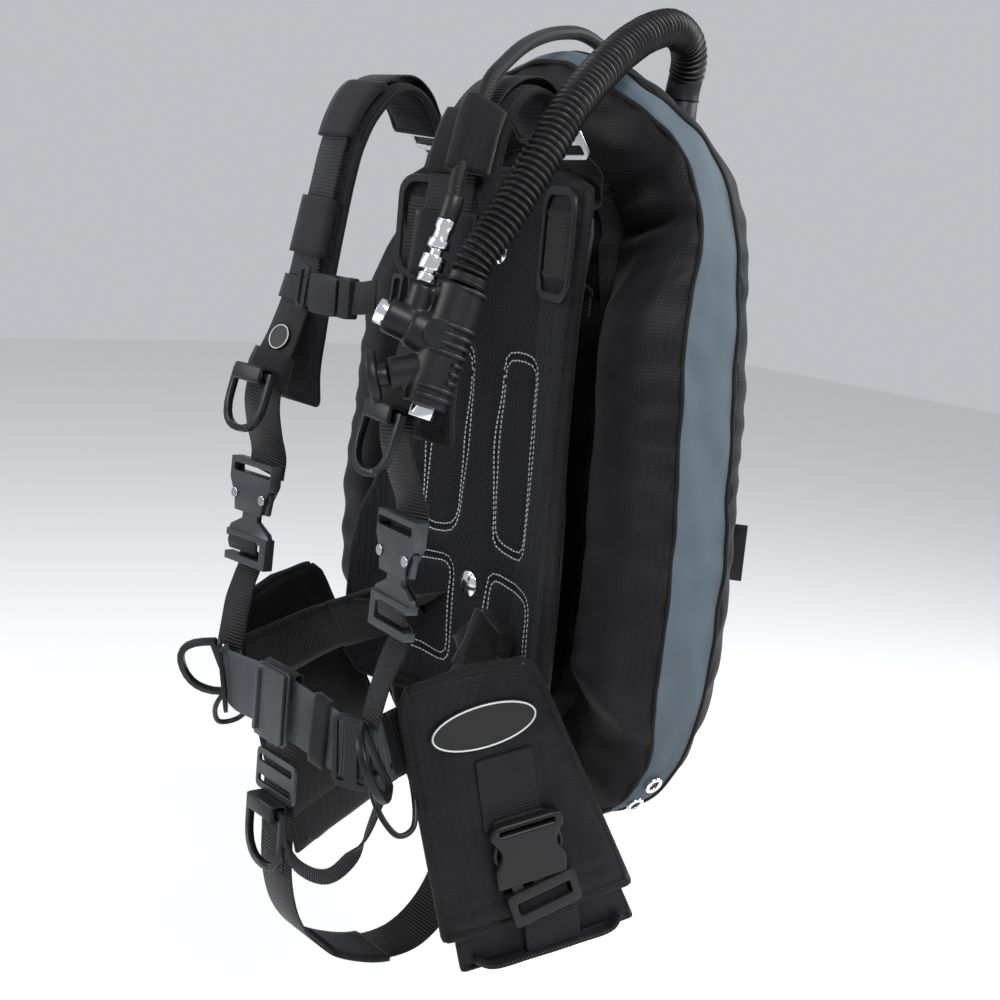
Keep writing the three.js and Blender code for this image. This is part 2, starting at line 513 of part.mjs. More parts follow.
function pocketGeometry() {
  const body = pocketSlab(pocketShape([...POCKET_FACE].reverse()), -POCKET_BACK, 0);
  const room = pocketSlab(pocketShape([[-50, 24], [-68, 250], [68, 250], [50, 24]]), -POCKET_BACK + 3, -3);
  return cut(body, room);
}
function pouchGeometry() {
  const bag = pocketSlab(pocketShape([[-46, 40], [-64, 236], [-58, 256], [58, 262], [64, 240], [46, 40]]),
    -POCKET_BACK + 4, -4);
  return bag;
}
function pocketHousing() {
  const shape = shapeFrom([[-27, 24], [27, 24], [29, 12], [24, 4], [30, -6], [29, -30], [-29, -30],
  [-30, -6],
    [-24, 4], [-29, 12]]);
  const body = centred(shape, 4, 152, 0.4, 13.4);
  const bore = centred(roundedRect(50, 34, 1), 4, 168, 3.4, 10.4);
  return cut(body, bore);
}
function pocketProngs() {
  const rim = roundedRect(58, 30, 4);
  rim.holes.push(new THREE.Path(roundedRect(46, 12, 2).getPoints(3)));
  const frame = centred(rim, 4, 199, 1.6, 12.2);
  const prong = (w) => centred(roundedRect(9, 30, 2), 4 + w, 173, 4.4, 9.4);
  return joined(frame, prong(-18), prong(18), prong(0));
}
addPair('weight_pocket', pocketGeometry(), COLORS.fabric);
addPair('weight_pouch', pouchGeometry(), COLORS.fabric);
addPair('pocket_buckle_female', pocketHousing(), COLORS.plastic, 0, 0.5);
addPair('pocket_buckle_male', pocketProngs(), COLORS.plastic, 0, 0.5);

// ---- power inflator: s towards the mouthpiece, t up along the grip, n to the diver's left ----
const GRIP = { at: V(138, -179.6, 78.3), s: V(-0.6437, -0.727, 0.2378), t: V(0.01, 0.3028, 0.953) };
GRIP.n = GRIP.s.clone().cross(GRIP.t).normalize();
const inGrip = (s, t, n = 0) => GRIP.at.clone().addScaledVector(GRIP.s, s).addScaledVector(GRIP.t, t)
  .addScaledVector(GRIP.n, n);
const gripBar = (r, from, to, sides = 14) => cylinder(r, inGrip(...from), inGrip(...to), sides);

function inflatorGeometry() {
  const trunk = gripBar(16, [0, -46], [1.7, 41]);
  const upperArm = gripBar(12, [4, 2], [46, 7]);
  const shoulder = gripBar(14, [2, 0], [26, 4.5]);
  const boss = gripBar(8.5, [26, 4], [27.2, 33.5]);
  const web = gripBar(5.5, [2, 36], [27, 29]);
  const lowerArm = gripBar(11.5, [4, -18], [30, -32]);
  const inflateBore = gripBar(10, [38, 6.05], [50, 7.5]);
  const deflateBore = gripBar(10, [0.1, -40], [0, -50]);
  return cut(joined(trunk, upperArm, shoulder, boss, web, lowerArm), inflateBore, deflateBore);
}
add('inflator_body', inflatorGeometry(), COLORS.rubber, 0, 0.6);
add('inflate_button', gripBar(9.2, [42.5, 6.58], [53, 7.84]), COLORS.chrome, 1, 0.2);
add('deflate_button', gripBar(9.2, [0, -44.5], [-0.1, -54]), COLORS.chrome, 1, 0.2);

function mouthpieceGeometry() {
  const neck = gripBar(8, [30.3, -32.2], [38, -36.3]);
  const flare = gripBar(19, [37, -35.8], [43, -39]);
  const recess = gripBar(15.5, [40.5, -37.6], [50, -42.8]);
  return cut(joined(neck, flare), recess);
}
add('mouthpiece', mouthpieceGeometry(), COLORS.rubber, 0, 0.7);

const COUPLING = [[0, 0], [7, 0], [7, 6], [4.6, 7.5], [4.6, 24], [8, 25.5], [8, 31], [6.4, 32],
  [6, 38], [7, 40],
  [7, 46], [0, 46]];
add('quick_disconnect', lathe(COUPLING, inGrip(27.4, 36.6), GRIP.t, 12), COLORS.chrome, 1, 0.2);
const COLLAR = [[5, 9], [8.8, 9], [8.8, 19.5], [5, 19.5], [5, 9]];
add('qd_collar', lathe(COLLAR, inGrip(27.4, 36.6), GRIP.t, 16), COLORS.chrome, 1, 0.25);

// ---- hoses ----
const CORRUGATED_ROUTE = [[137.4, -167.5, 120.6], [138, -161.5, 136.5], [139.5, -144, 161],
  [139.5, -126.6, 187.6],
  [137, -105.5, 218.5], [130, -80.5, 250.3], [118, -45, 279.6], [105, -11.5, 300.7], [94, 22, 316.7],
  [84, 54, 324], [75, 79, 317], [68, 91, 304], [60, 97, 290], [58, 97, 279], [58, 97, 272.2]];
add('corrugated_hose', tube(CORRUGATED_ROUTE, HOSE_RADIUS, 10, 36), COLORS.rubber);

const LP_ROUTE = [[121.2, -174.4, 163.9], [121.3, -170.6, 176], [114, -163.5, 192], [107, -151.5, 219],
  [101, -140, 242], [93, -127, 264], [81, -106, 278.5], [62, -73.5, 295.5], [22, -10, 313], [8, 28, 316.5],
  [1, 58, 308], [-3, 84, 286], [-5, 98, 258], [-6, 101, 232], [-6, 101, 206]];
add('lp_hose', tube(LP_ROUTE, LP_RADIUS, 8, 56), COLORS.rubber);
const FITTING = [[0, 0], [6.6, 0], [6.6, 16], [8.6, 17], [8.6, 26], [5.5, 27], [5.5, 36], [0, 36]];
add('hose_fitting', lathe(FITTING, V(-6, 101, 205.6), V(0, 0, -1), 12), COLORS.chrome, 1, 0.25);

function elbowGeometry() {
  const flange = lathe([[0, 0], [22, 0], [22, 4], [16, 6], [0, 6]], V(58, 85, 236), V(0, 1, 0), 16);
  const stub = cylinder(13.5, V(58, 87, 236), V(58, 108, 236), 14);
  const riser = cylinder(13.5, V(58, 97, 236), V(58, 97, 271.6), 14);
  return joined(flange, stub, riser);
}
add('wing_elbow', elbowGeometry(), COLORS.rubber, 0, 0.6);

// ---- dump valve low on the wing's rear face ----
const DUMP = V(-116, 90, -252);
const DUMP_BODY = [[0, 0], [24, 0], [24, 5], [20, 8], [8.5, 9], [8.5, 4], [0, 4]];
add('dump_valve', lathe(DUMP_BODY, DUMP, V(0, 1, 0), 20), COLORS.plastic, 0, 0.5);
const DUMP_KNOB = [[0, 4.6], [5, 4.6], [5, 14], [8, 16], [8, 22], [5, 25], [0, 25]];
add('dump_pull', lathe(DUMP_KNOB, DUMP, V(0, 1, 0), 14), COLORS.plastic, 0, 0.5);

export default group;
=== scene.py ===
"""Looks for the buoyancy compensator vest, round the fixed CAD frame.

Fabric, webbing, padding, hoses and hardware, each in its own section. Routes and outlines are in millimetres.
"""
import math

import bmesh
import bpy
from mathutils import Matrix, Vector, noise


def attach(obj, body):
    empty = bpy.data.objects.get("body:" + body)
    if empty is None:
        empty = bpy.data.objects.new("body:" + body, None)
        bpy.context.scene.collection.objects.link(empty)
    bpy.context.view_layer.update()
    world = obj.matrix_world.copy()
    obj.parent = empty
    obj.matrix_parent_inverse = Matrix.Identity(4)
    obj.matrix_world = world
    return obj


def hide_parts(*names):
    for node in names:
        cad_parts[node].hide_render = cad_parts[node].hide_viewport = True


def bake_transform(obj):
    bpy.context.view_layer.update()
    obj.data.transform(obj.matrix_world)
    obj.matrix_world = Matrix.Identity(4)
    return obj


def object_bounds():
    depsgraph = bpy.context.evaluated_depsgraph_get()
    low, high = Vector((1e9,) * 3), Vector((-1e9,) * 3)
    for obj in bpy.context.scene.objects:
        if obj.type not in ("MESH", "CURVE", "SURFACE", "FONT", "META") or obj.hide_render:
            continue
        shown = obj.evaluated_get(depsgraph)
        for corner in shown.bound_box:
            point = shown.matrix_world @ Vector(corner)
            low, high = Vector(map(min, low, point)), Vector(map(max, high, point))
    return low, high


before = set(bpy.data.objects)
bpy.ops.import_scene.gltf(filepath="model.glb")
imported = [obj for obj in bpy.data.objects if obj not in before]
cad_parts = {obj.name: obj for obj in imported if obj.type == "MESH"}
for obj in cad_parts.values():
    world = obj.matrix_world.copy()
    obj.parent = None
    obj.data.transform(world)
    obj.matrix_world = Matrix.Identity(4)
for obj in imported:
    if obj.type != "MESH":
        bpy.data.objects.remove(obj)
cad_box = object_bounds()
MM = 0.001
ROOT = "vest"
RIGHT = Vector((1, 0, 0))
UP = Vector((0, 0, 1))
FORWARD = Vector((0, -1, 0))

# ---- camera ----
CAM_AT = Vector((1.0554, -0.8561, 0.1899))
CAM_RIGHT = Vector((0.6105, 0.7866, 0.0921))
CAM_UP = Vector((-0.2044, 0.0441, 0.9777))
CAM_BACK = Vector((0.765, -0.616, 0.1877))
CAM_LENS, CAM_SENSOR = 58.73, 36


def place(across, up, out, at):
    """A matrix with those three axes and that origin."""
    return Matrix((
        (across.x, up.x, out.x, at.x),
        (across.y, up.y, out.y, at.y),
        (across.z, up.z, out.z, at.z),
        (0, 0, 0, 1),
    ))


camera = bpy.data.objects.new("camera", bpy.data.cameras.new("camera"))
camera.data.lens = CAM_LENS
camera.data.sensor_width = CAM_SENSOR
camera.matrix_world = place(CAM_RIGHT, CAM_UP, CAM_BACK, CAM_AT)
bpy.context.collection.objects.link(camera)
bpy.context.scene.camera = camera


# ---- materials ----
def feed(node, **values):
    """Sets a node's properties and inputs; an input given a socket is linked to it."""
    for key, value in values.items():
        if hasattr(node, key):
            setattr(node, key, value)
            continue
        socket = node.inputs[key.replace("_", " ")]
        if isinstance(value, bpy.types.NodeSocket):
            node.id_data.links.new(value, socket)
        else:
            socket.default_value = value


def add_node(tree, kind, **values):
    node = tree.nodes.new(kind)
    feed(node, **values)
    return node


def new_material(name, color, roughness, metallic=0.0, **inputs):
    material = bpy.data.materials.new(name)
    material.use_nodes = True
    shader = material.node_tree.nodes["Principled BSDF"]
    feed(shader, Base_Color=(*color, 1), Roughness=roughness, Metallic=metallic, **inputs)
    return material, material.node_tree, shader


def ramp_from(tree, factor, *stops):
    """A colour ramp between two stops, each a position and a colour."""
    ramp = add_node(tree, "ShaderNodeValToRGB", Fac=factor)
    for element, (position, color) in zip(ramp.color_ramp.elements, stops):
        element.position = position
        element.color = (*color, 1)
    return ramp.outputs["Color"]


def colour_noise(tree, color, source):
    """Uneven dye and dust: the base colour drifts between two shades."""
    spread = 0.22
    cloud = add_node(tree, "ShaderNodeTexNoise", Scale=22.0, Detail=5.0, Vector=source)
    return ramp_from(tree, cloud.outputs["Fac"], (0.3, [c * (1 - spread) for c in color]),
                     (0.72, [c * (1 + spread) + 0.004 for c in color]))


def bump_from(tree, shader, height, strength, distance):
    bump = add_node(tree, "ShaderNodeBump", Strength=strength, Distance=distance, Height=height)
    feed(shader, Normal=bump.outputs["Normal"])


def woven(name, color, pitch, roughness=0.75, strength=0.7, ribs_only=False, use_uv=True, sheen=0.25):
    """Cloth with a warp and weft (or ribs across the strap) at that thread pitch, in metres."""
    material, tree, shader = new_material(name, color, roughness, Sheen_Weight=sheen, Sheen_Roughness=0.4,
                                          Specular_IOR_Level=0.16)
    coords = add_node(tree, "ShaderNodeTexCoord")
    heights = []
    for direction in ("X",) if ribs_only else ("X", "Y" if use_uv else "Z"):
        wave = add_node(tree, "ShaderNodeTexWave", bands_direction=direction, Scale=0.5 / pitch / 3.14,
                        Distortion=0.5, Vector=coords.outputs["UV" if use_uv else "Object"])
        heights.append(wave.outputs["Fac"])
    height = heights[0]
    if len(heights) == 2:
        mix = add_node(tree, "ShaderNodeMath", operation="MULTIPLY")
        for source, target in zip(heights, mix.inputs):
            tree.links.new(source, target)
        height = mix.outputs[0]
    shade = add_node(tree, "ShaderNodeMix", data_type="RGBA", blend_type="MULTIPLY", Factor=0.45)
    tree.links.new(colour_noise(tree, color, coords.outputs["Object"]), shade.inputs[6])
    tree.links.new(height, shade.inputs[7])
    feed(shader, Base_Color=shade.outputs[2])
    bump_from(tree, shader, height, strength, pitch * 0.35)
    return material


def spacer_mesh(name, color):
    """Open knit over foam: a fine field of dimples, each darkened towards its bottom with painted shade."""
    material, tree, shader = new_material(name, color, 0.85, Sheen_Weight=0.05, Specular_IOR_Level=0.1)
    coords = add_node(tree, "ShaderNodeTexCoord")
    cells = add_node(tree, "ShaderNodeTexVoronoi", Scale=330.0, Randomness=0.25,
                     Vector=coords.outputs["Object"])
    depth = cells.outputs["Distance"]
    # painted shade: the colour falls to near black in the hollow of each dimple, where the bump is lowest
    feed(shader, Base_Color=ramp_from(tree, depth, (0.2, (0.004, 0.004, 0.005)), (0.55, color)))
    bump_from(tree, shader, depth, 0.8, 0.0012)
    return material


def moulded(name, color, roughness, metallic=0.0, grain=900.0, strength=0.12, scratches=0.0, specular=0.35):
    """Plastic, rubber or metal with a fine grain, and rubbed patches where scratches is above 0."""
    material, tree, shader = new_material(name, color, roughness, metallic, Specular_IOR_Level=specular)
    at = add_node(tree, "ShaderNodeTexCoord").outputs["Object"]
    fine = add_node(tree, "ShaderNodeTexNoise", Scale=grain, Detail=3.0, Vector=at)
    bump_from(tree, shader, fine.outputs["Fac"], strength, 0.0004)
    wear = add_node(tree, "ShaderNodeTexNoise", Scale=48.0, Detail=6.0, Vector=at)
    drift = 0.12 + scratches
    span = add_node(tree, "ShaderNodeMapRange", Value=wear.outputs["Fac"],
                    To_Min=max(roughness - drift, 0.05), To_Max=min(roughness + drift, 1.0))
    feed(shader, Roughness=span.outputs["Result"])
    return material


NYLON = woven("ballistic_nylon", (0.0052, 0.0054, 0.0066), 0.0013, 0.62, 0.35, use_uv=False, sheen=0.03)
GUSSET = moulded("gusset_nylon", (0.064, 0.083, 0.100), 0.72, grain=1500.0, strength=0.35, specular=0.15)
MESH = spacer_mesh("spacer_mesh", (0.013, 0.0134, 0.0155))
SMOOTH = woven("neoprene_sleeve", (0.008, 0.008, 0.0092), 0.0009, 0.8, 0.25, use_uv=False, sheen=0.08)
WEBBING = woven("black_webbing", (0.0065, 0.0065, 0.0076), 0.0014, 0.52, 1.0, ribs_only=True, sheen=0.08)
GREY_WEB = woven("grey_webbing", (0.05, 0.058, 0.068), 0.0014, 0.58, 1.0, ribs_only=True, sheen=0.08)
BINDING = woven("edge_binding", (0.007, 0.007, 0.008), 0.0012, 0.7, 0.6, sheen=0.06)
THREAD = moulded("stitch_thread", (0.5, 0.51, 0.5), 0.8)
DARK_THREAD = moulded("dark_thread", (0.035, 0.035, 0.038), 0.7)
PLASTIC = moulded("black_plastic", (0.0065, 0.0067, 0.0073), 0.42, specular=0.25)
RUBBER = moulded("black_rubber", (0.0055, 0.0055, 0.0062), 0.44, grain=600.0, specular=0.28)
GREY_METAL = moulded("anodised_metal", (0.06, 0.064, 0.07), 0.42, 0.8, scratches=0.1)
DARK_METAL = moulded("black_coated_wire", (0.012, 0.0125, 0.014), 0.34, 0.5, scratches=0.1)
STEEL = moulded("steel", (0.42, 0.43, 0.45), 0.28, 1.0, scratches=0.08)
CHROME = moulded("chrome", (0.82, 0.83, 0.85), 0.12, 1.0, grain=300.0, strength=0.03)
BRAID = woven("hose_cover", (0.0085, 0.0085, 0.0095), 0.0016, 0.5, 0.6, sheen=0.06)


# Each material's slot in the record, where a piece names no other.
SLOT_OF = {
    NYLON: "wing_fabric", MESH: "pad_mesh", SMOOTH: "pad_mesh", BINDING: "pad_mesh", THREAD: "pad_mesh",
    WEBBING: "black_webbing", DARK_THREAD: "black_webbing", GREY_WEB: "grey_webbing",
    PLASTIC: "black_plastic", RUBBER: "black_rubber", BRAID: "black_rubber", GREY_METAL: "grey_metal",
    DARK_METAL: "grey_metal", STEEL: "grey_metal", CHROME: "bright_metal",
}


# ---- building tools ----
def dress(mesh, material, smooth=True):
    mesh.materials.clear()
    mesh.materials.append(material)
    if smooth:
        for polygon in mesh.polygons:
            polygon.use_smooth = True


def finish_piece(obj, material, body=ROOT, slot=None, smooth=True):
    """Gives a new piece its material and its body."""
    slot = slot or SLOT_OF[material]
    dress(obj.data, material, smooth)
    if body is not None:
        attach(obj, body)
    return obj


def link_object(name, data):
    obj = bpy.data.objects.new(name, data)
    bpy.context.collection.objects.link(obj)
    return obj


def mesh_object(name, vertices, faces, uvs=None):
    mesh = bpy.data.meshes.new(name)
    mesh.from_pydata([tuple(v) for v in vertices], [], faces)
    if uvs is not None:
        layer = mesh.uv_layers.new(name="UVMap")
        for loop in mesh.loops:
            layer.data[loop.index].uv = uvs[loop.vertex_index]
    mesh.update()
    return link_object(name, mesh)


def ring_faces(rings, size, closed=False):
    """Quads between rings of that many vertices, with a flat end at each end of an open run."""
    faces = []
    for i in range(rings if closed else rings - 1):
        here, there = i * size, (i + 1) % rings * size
        for k in range(size):
            j = (k + 1) % size
            faces.append((here + k, here + j, there + j, there + k))
    if not closed:
        faces.append(tuple(reversed(range(size))))
        faces.append(tuple(range((rings - 1) * size, rings * size)))
    return faces


def ellipse(x, y, sides):
    turns = [k * math.pi / (sides // 2) for k in range(sides)]
    return [(x * math.cos(a), y * math.sin(a)) for a in turns]


def centripetal(points, per_span, closed=False):
    """Points on a centripetal Catmull-Rom curve, with the control parameter of each."""
    count = len(points)
    spans = count if closed else count - 1
    out = []
    for i in range(spans):
        p1 = points[i]
        p2 = points[(i + 1) % count]
        p0 = points[i - 1] if closed or i else 2 * p1 - p2
        p3 = points[(i + 2) % count] if closed or i + 2 < count else 2 * p2 - p1
        d0 = max((p1 - p0).length, 1e-6) ** 0.5
        d1 = max((p2 - p1).length, 1e-6) ** 0.5
        d2 = max((p3 - p2).length, 1e-6) ** 0.5
        m1 = ((p1 - p0) / d0 - (p2 - p0) / (d0 + d1) + (p2 - p1) / d1) * d1
        m2 = ((p2 - p1) / d1 - (p3 - p1) / (d1 + d2) + (p3 - p2) / d2) * d1
        for k in range(per_span):
            t = k / per_span
            out.append((i + t, (2 * t**3 - 3 * t**2 + 1) * p1 + (t**3 - 2 * t**2 + t) * m1
                        + (3 * t**2 - 2 * t**3) * p2 + (t**3 - t**2) * m2))
    if not closed:
        out.append((count - 1, points[-1].copy()))
    return out


def curve_points(points, per_span, closed=False):
    return [at for _, at in centripetal(points, per_span, closed)]


def strap_frames(rows, per_span, side=1, scale=MM):
    """(point, width direction, normal, distance) along a strap; side -1 is the diver's right.

    A row is a point, or a point and the width direction from there on. scale takes the points to metres.
    """
    mirror = Vector((side, 1, 1))
    points, widths = [], []
    for row in rows:
        at, width = row if len(row) == 2 else (row, None)
        points.append(Vector(at) * scale * mirror)
        widths.append(Vector(width) * mirror if width else widths[-1])
    samples = centripetal(points, per_span)
    frames = []
    distance = 0.0
    for index, (t, at) in enumerate(samples):
        before = samples[max(index - 1, 0)][1]
        after = samples[min(index + 1, len(samples) - 1)][1]
        along = (after - before).normalized()
        k = min(int(t), len(points) - 2)
        across = widths[k].lerp(widths[k + 1], t - k)
        across = (across - along * across.dot(along)).normalized()
        if index:
            distance += (at - before).length
        frames.append((at, across, along.cross(across), distance))
    return frames


def web_section(width, thickness):
    """Flat webbing: its edges are thinner than its middle."""
    x, y = width / 2, thickness / 2
    edge = y * 0.4
    return [(-x, -edge), (-x + y, -y), (0, -y), (x - y, -y), (x, -edge), (x, edge), (x - y, y), (0, y),
            (-x + y, y), (-x, edge)]


def pad_section(width, thickness, rim=0.32, steps=9):
    """A padded strap: full in the middle, drawn down to a bound edge at both sides."""
    x, y = width / 2, thickness / 2
    lower = []
    for k in range(steps):
        s = -1 + 2 * k / (steps - 1)
        lower.append((s * x, -y * (rim + (1 - rim) * max(0, 1 - abs(s) ** 3.2) ** 0.6)))
    return lower + [(-a, -b) for a, b in lower]


def sweep(name, frames, section, material=WEBBING, body=ROOT, slot=None, offset=0.0, taper=None):
    """A closed strip of that section along strap frames; u of the UVs runs along it, in metres."""
    vertices, uvs = [], []
    for index, (at, across, normal, distance) in enumerate(frames):
        grow = taper(index / (len(frames) - 1)) if taper else 1.0
        for x, y in section:
            vertices.append(at + across * x + normal * (y * grow + offset))
            uvs.append((distance, x))
    obj = mesh_object(name, vertices, ring_faces(len(frames), len(section)), uvs)
    return finish_piece(obj, material, body, slot)


def tube_mesh(name, points, radius, material, body=ROOT, slot=None, sides=12, closed=False):
    """A round tube along points with a parallel-carried frame; radius may be a function of distance."""
    vertices, uvs = [], []
    normal = None
    distance = 0.0
    count = len(points)
    for i, at in enumerate(points):
        before = points[i - 1] if closed or i else at
        after = points[(i + 1) % count] if closed or i + 1 < count else at
        along = (after - before).normalized()
        if normal is None:
            normal = along.orthogonal().normalized()
        normal = (normal - along * normal.dot(along)).normalized()
        binormal = along.cross(normal)
        if i:
            distance += (at - points[i - 1]).length
        r = radius(distance) if callable(radius) else radius
        for k in range(sides):
            angle = 2 * math.pi * k / sides
            vertices.append(at + normal * (r * math.cos(angle)) + binormal * (r * math.sin(angle)))
            uvs.append((distance, r * angle))
    obj = mesh_object(name, vertices, ring_faces(count, sides, closed), uvs)
    return finish_piece(obj, material, body, slot)


def rounded(width, height, radius, steps=5):
    x, y = width / 2 - radius, height / 2 - radius
    outline = []
    for corner, (cx, cy) in enumerate(((x, y), (-x, y), (-x, -y), (x, -y))):
        for k in range(steps + 1):
            angle = math.pi / 2 * (corner + k / steps)
            outline.append((cx + radius * math.cos(angle), cy + radius * math.sin(angle)))
    return outline


def plate(name, outline, thickness, at, across, up, material, body=ROOT, slot=None, holes=(), bevel=0.0006):
    """A flat piece with softened edges, centred on its own thickness; outline in metres."""
    curve = bpy.data.curves.new(name, "CURVE")
    curve.dimensions = "2D"
    curve.fill_mode = "BOTH"
    curve.extrude = max(thickness / 2 - bevel, 0.0001)
    curve.bevel_depth = bevel
    curve.bevel_resolution = 2
    curve.offset = -bevel
    for ring in (outline, *holes):
        spline = curve.splines.new("POLY")
        spline.points.add(len(ring) - 1)
        spline.use_cyclic_u = True
        for point, (x, y) in zip(spline.points, ring):
            point.co = (x, y, 0, 1)
    temp = bpy.data.objects.new(name + "_curve", curve)
    mesh = bpy.data.meshes.new_from_object(temp)
    bpy.data.objects.remove(temp)
    if mesh.uv_layers:
        mesh.uv_layers.remove(mesh.uv_layers[0])
    layer = mesh.uv_layers.new(name="UVMap")
    for loop in mesh.loops:
        spot = mesh.vertices[loop.vertex_index].co
        layer.data[loop.index].uv = (spot.y, spot.x)
    across = across.normalized()
    out = across.cross(up).normalized()
    mesh.transform(place(across, out.cross(across), out, at))
    return finish_piece(link_object(name, mesh), material, body, slot, smooth=False)


def web_slide(name, outline, thickness, gap, at, across, up, material):
    """A three-bar slide: a plate with two slots that the webbing passes through."""
    slots = [[(x, y + dy) for x, y in rounded(0.050, gap, 0.002)] for dy in (-0.0085, 0.0085)]
    plate(name, outline, thickness, at, across, up, material, holes=slots)


def stitches(name, points, material, step=0.0042):
    """A run of thread on the diver's side: one small raised bar per stitch, in a single mesh."""
    length, width, height = 0.0026, 0.0009, 0.0005
    vertices, faces = [], []
    carried = 0.0
    for a, b in zip(points, points[1:]):
        span = (b - a).length
        along = (b - a).normalized()
        while carried < span:
            at = a + along * carried
            side = along.cross(FORWARD).normalized() * (width / 2)
            half = along * (length / 2)
            lift = FORWARD * height
            base = len(vertices)
            vertices += [at - half - side, at - half + side, at + half + side, at + half - side]
            vertices += [v + lift for v in vertices[base:base + 4]]
            faces += [(base + 3, base + 2, base + 1, base), (base + 4, base + 5, base + 6, base + 7)]
            faces += [(base + k, base + (k + 1) % 4, base + 4 + (k + 1) % 4, base + 4 + k) for k in range(4)]
            carried += step
        carried -= span
    finish_piece(mesh_object(name, vertices, faces), material, smooth=False)


def shade_node(name, material, bevel=0.0008):
    """A CAD node that keeps its shape: its finish, with softened edges."""
    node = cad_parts[name]
    dress(node.data, material)
    weld = node.modifiers.new("weld", "WELD")
    weld.merge_threshold = 0.00002
    softener = node.modifiers.new("edges", "BEVEL")
    softener.width = max(bevel, 0.0002)
    softener.segments = 3
    softener.limit_method = "ANGLE"
    softener.angle_limit = math.radians(35)
    softener.harden_normals = True


SIDES = (("left", 1), ("right", -1))

# ---- hoses: the same routes as the CAD solids ----
CORRUGATED_ROUTE = [
    (137.4, -167.5, 120.6), (138, -161.5, 136.5), (139.5, -144, 161), (139.5, -126.6, 187.6),
    (137, -105.5, 218.5), (130, -80.5, 250.3), (118, -45, 279.6), (105, -11.5, 300.7), (94, 22, 316.7),
    (84, 54, 324), (75, 79, 317), (68, 91, 304), (60, 97, 290), (58, 97, 279), (58, 97, 272.2)]
LP_ROUTE = [
    (121.2, -174.4, 163.9), (121.3, -170.6, 176), (114, -163.5, 192), (107, -151.5, 219), (101, -140, 242),
    (93, -127, 264), (81, -106, 278.5), (62, -73.5, 295.5), (22, -10, 313), (8, 28, 316.5), (1, 58, 308),
    (-3, 84, 286), (-5, 98, 258), (-6, 101, 232), (-6, 101, 206)]


def along_route(route, per_span):
    return curve_points([Vector(p) * MM for p in route], per_span)


def path_length(points):
    return sum((b - a).length for a, b in zip(points, points[1:]))


RIDGE_PITCH, RIDGE_RADIUS, RIDGE_HEIGHT = 0.0052, 0.0128, 0.0020
CUFF_RADIUS, CUFF_START, CUFF_END = 0.0140, 0.007, 0.022


def make_hoses():
    path = along_route(CORRUGATED_ROUTE, 46)
    total = path_length(path)

    def ridged(distance):
        if distance < CUFF_START or total - distance < CUFF_END:
            return CUFF_RADIUS
        return RIDGE_RADIUS + RIDGE_HEIGHT * math.cos(2 * math.pi * distance / RIDGE_PITCH)

    hose = tube_mesh("corrugated_tube", path, ridged, RUBBER, sides=36)
    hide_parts("corrugated_hose")
    for index, spot in enumerate((4, len(path) - 6)):
        band = path[spot:spot + 3]
        tube_mesh(f"hose_clamp_{index}", band, 0.0149, PLASTIC, sides=36)

    path = along_route(LP_ROUTE, 16)
    hose = tube_mesh("lp_tube", path, 0.0055, BRAID, sides=20)
    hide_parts("lp_hose")
    shade_node("hose_fitting", CHROME, 0.0005)
    tube_mesh("lp_sleeve", path[:20], 0.0068, RUBBER, sides=20)


make_hoses()

# ---- wing ----
WING_OUTER = [
    (0, 304), (45, 296), (90, 278), (128, 256), (157, 232), (178, 200), (191, 160), (198, 115), (203, 60),
    (208, 0), (213, -60), (215, -110), (213, -160), (207, -205), (196, -243), (178, -274), (150, -300),
    (112, -318), (60, -328), (0, -331)]
WING_INNER = [
    (0, 192), (14, 191), (28, 188), (40, 181), (50, 170), (57, 154), (60, 130), (61, 100), (62, 50), (62, 0),
    (63, -50), (63, -95), (62, -135), (60, -165), (56, -188), (49, -204), (40, -215), (28, -222), (14, -226),
    (0, -228)]
LOBE_FRONT = [
    (0.012, -6), (0.08, -27), (0.2, -42), (0.36, -46), (0.5, -34), (0.62, -17), (0.72, -7), (0.84, -5),
    (1, -5)]
LOBE_REAR = [(0.93, 20), (0.79, 46), (0.68, 72), (0.55, 89), (0.4, 95), (0.22, 87), (0.08, 69), (0.012, 50)]
LOBE_RIM = [(0.004, 36), (0, 22), (0.004, 8)]
WING_Y = 22


def smoothstep(value, low, high):
    t = min(max((value - low) / (high - low), 0), 1)
    return t * t * (3 - 2 * t)


def lobe_thickness(z, front):
    top = smoothstep(z, 90 if front else 130, 190 if front else 270)
    bottom = smoothstep(-z, 170 if front else 180, 250 if front else 310)
    if front:
        return 1 - 0.6 * top - 0.62 * bottom
    return 1 - 0.2 * top - 0.16 * bottom


def whole_loop(half):
    return [Vector((x, 0, z)) for x, z in half] + [Vector((-x, 0, z)) for x, z in reversed(half[1:-1])]


def smooth_section(rows, per_span):
    return curve_points([Vector((a, b, 0)) for a, b in rows], per_span)


def wing_point(outer, inner, share, y):
    front = y < WING_Y
    thick = 1 if y < -4 and share > 0.7 else lobe_thickness(outer.z if abs(outer.z) > 1 else 0, front)
    x = outer.x + (inner.x - outer.x) * share
    z = outer.z + (inner.z - outer.z) * share
    return Vector((x, WING_Y + (y - WING_Y) * thick, z))


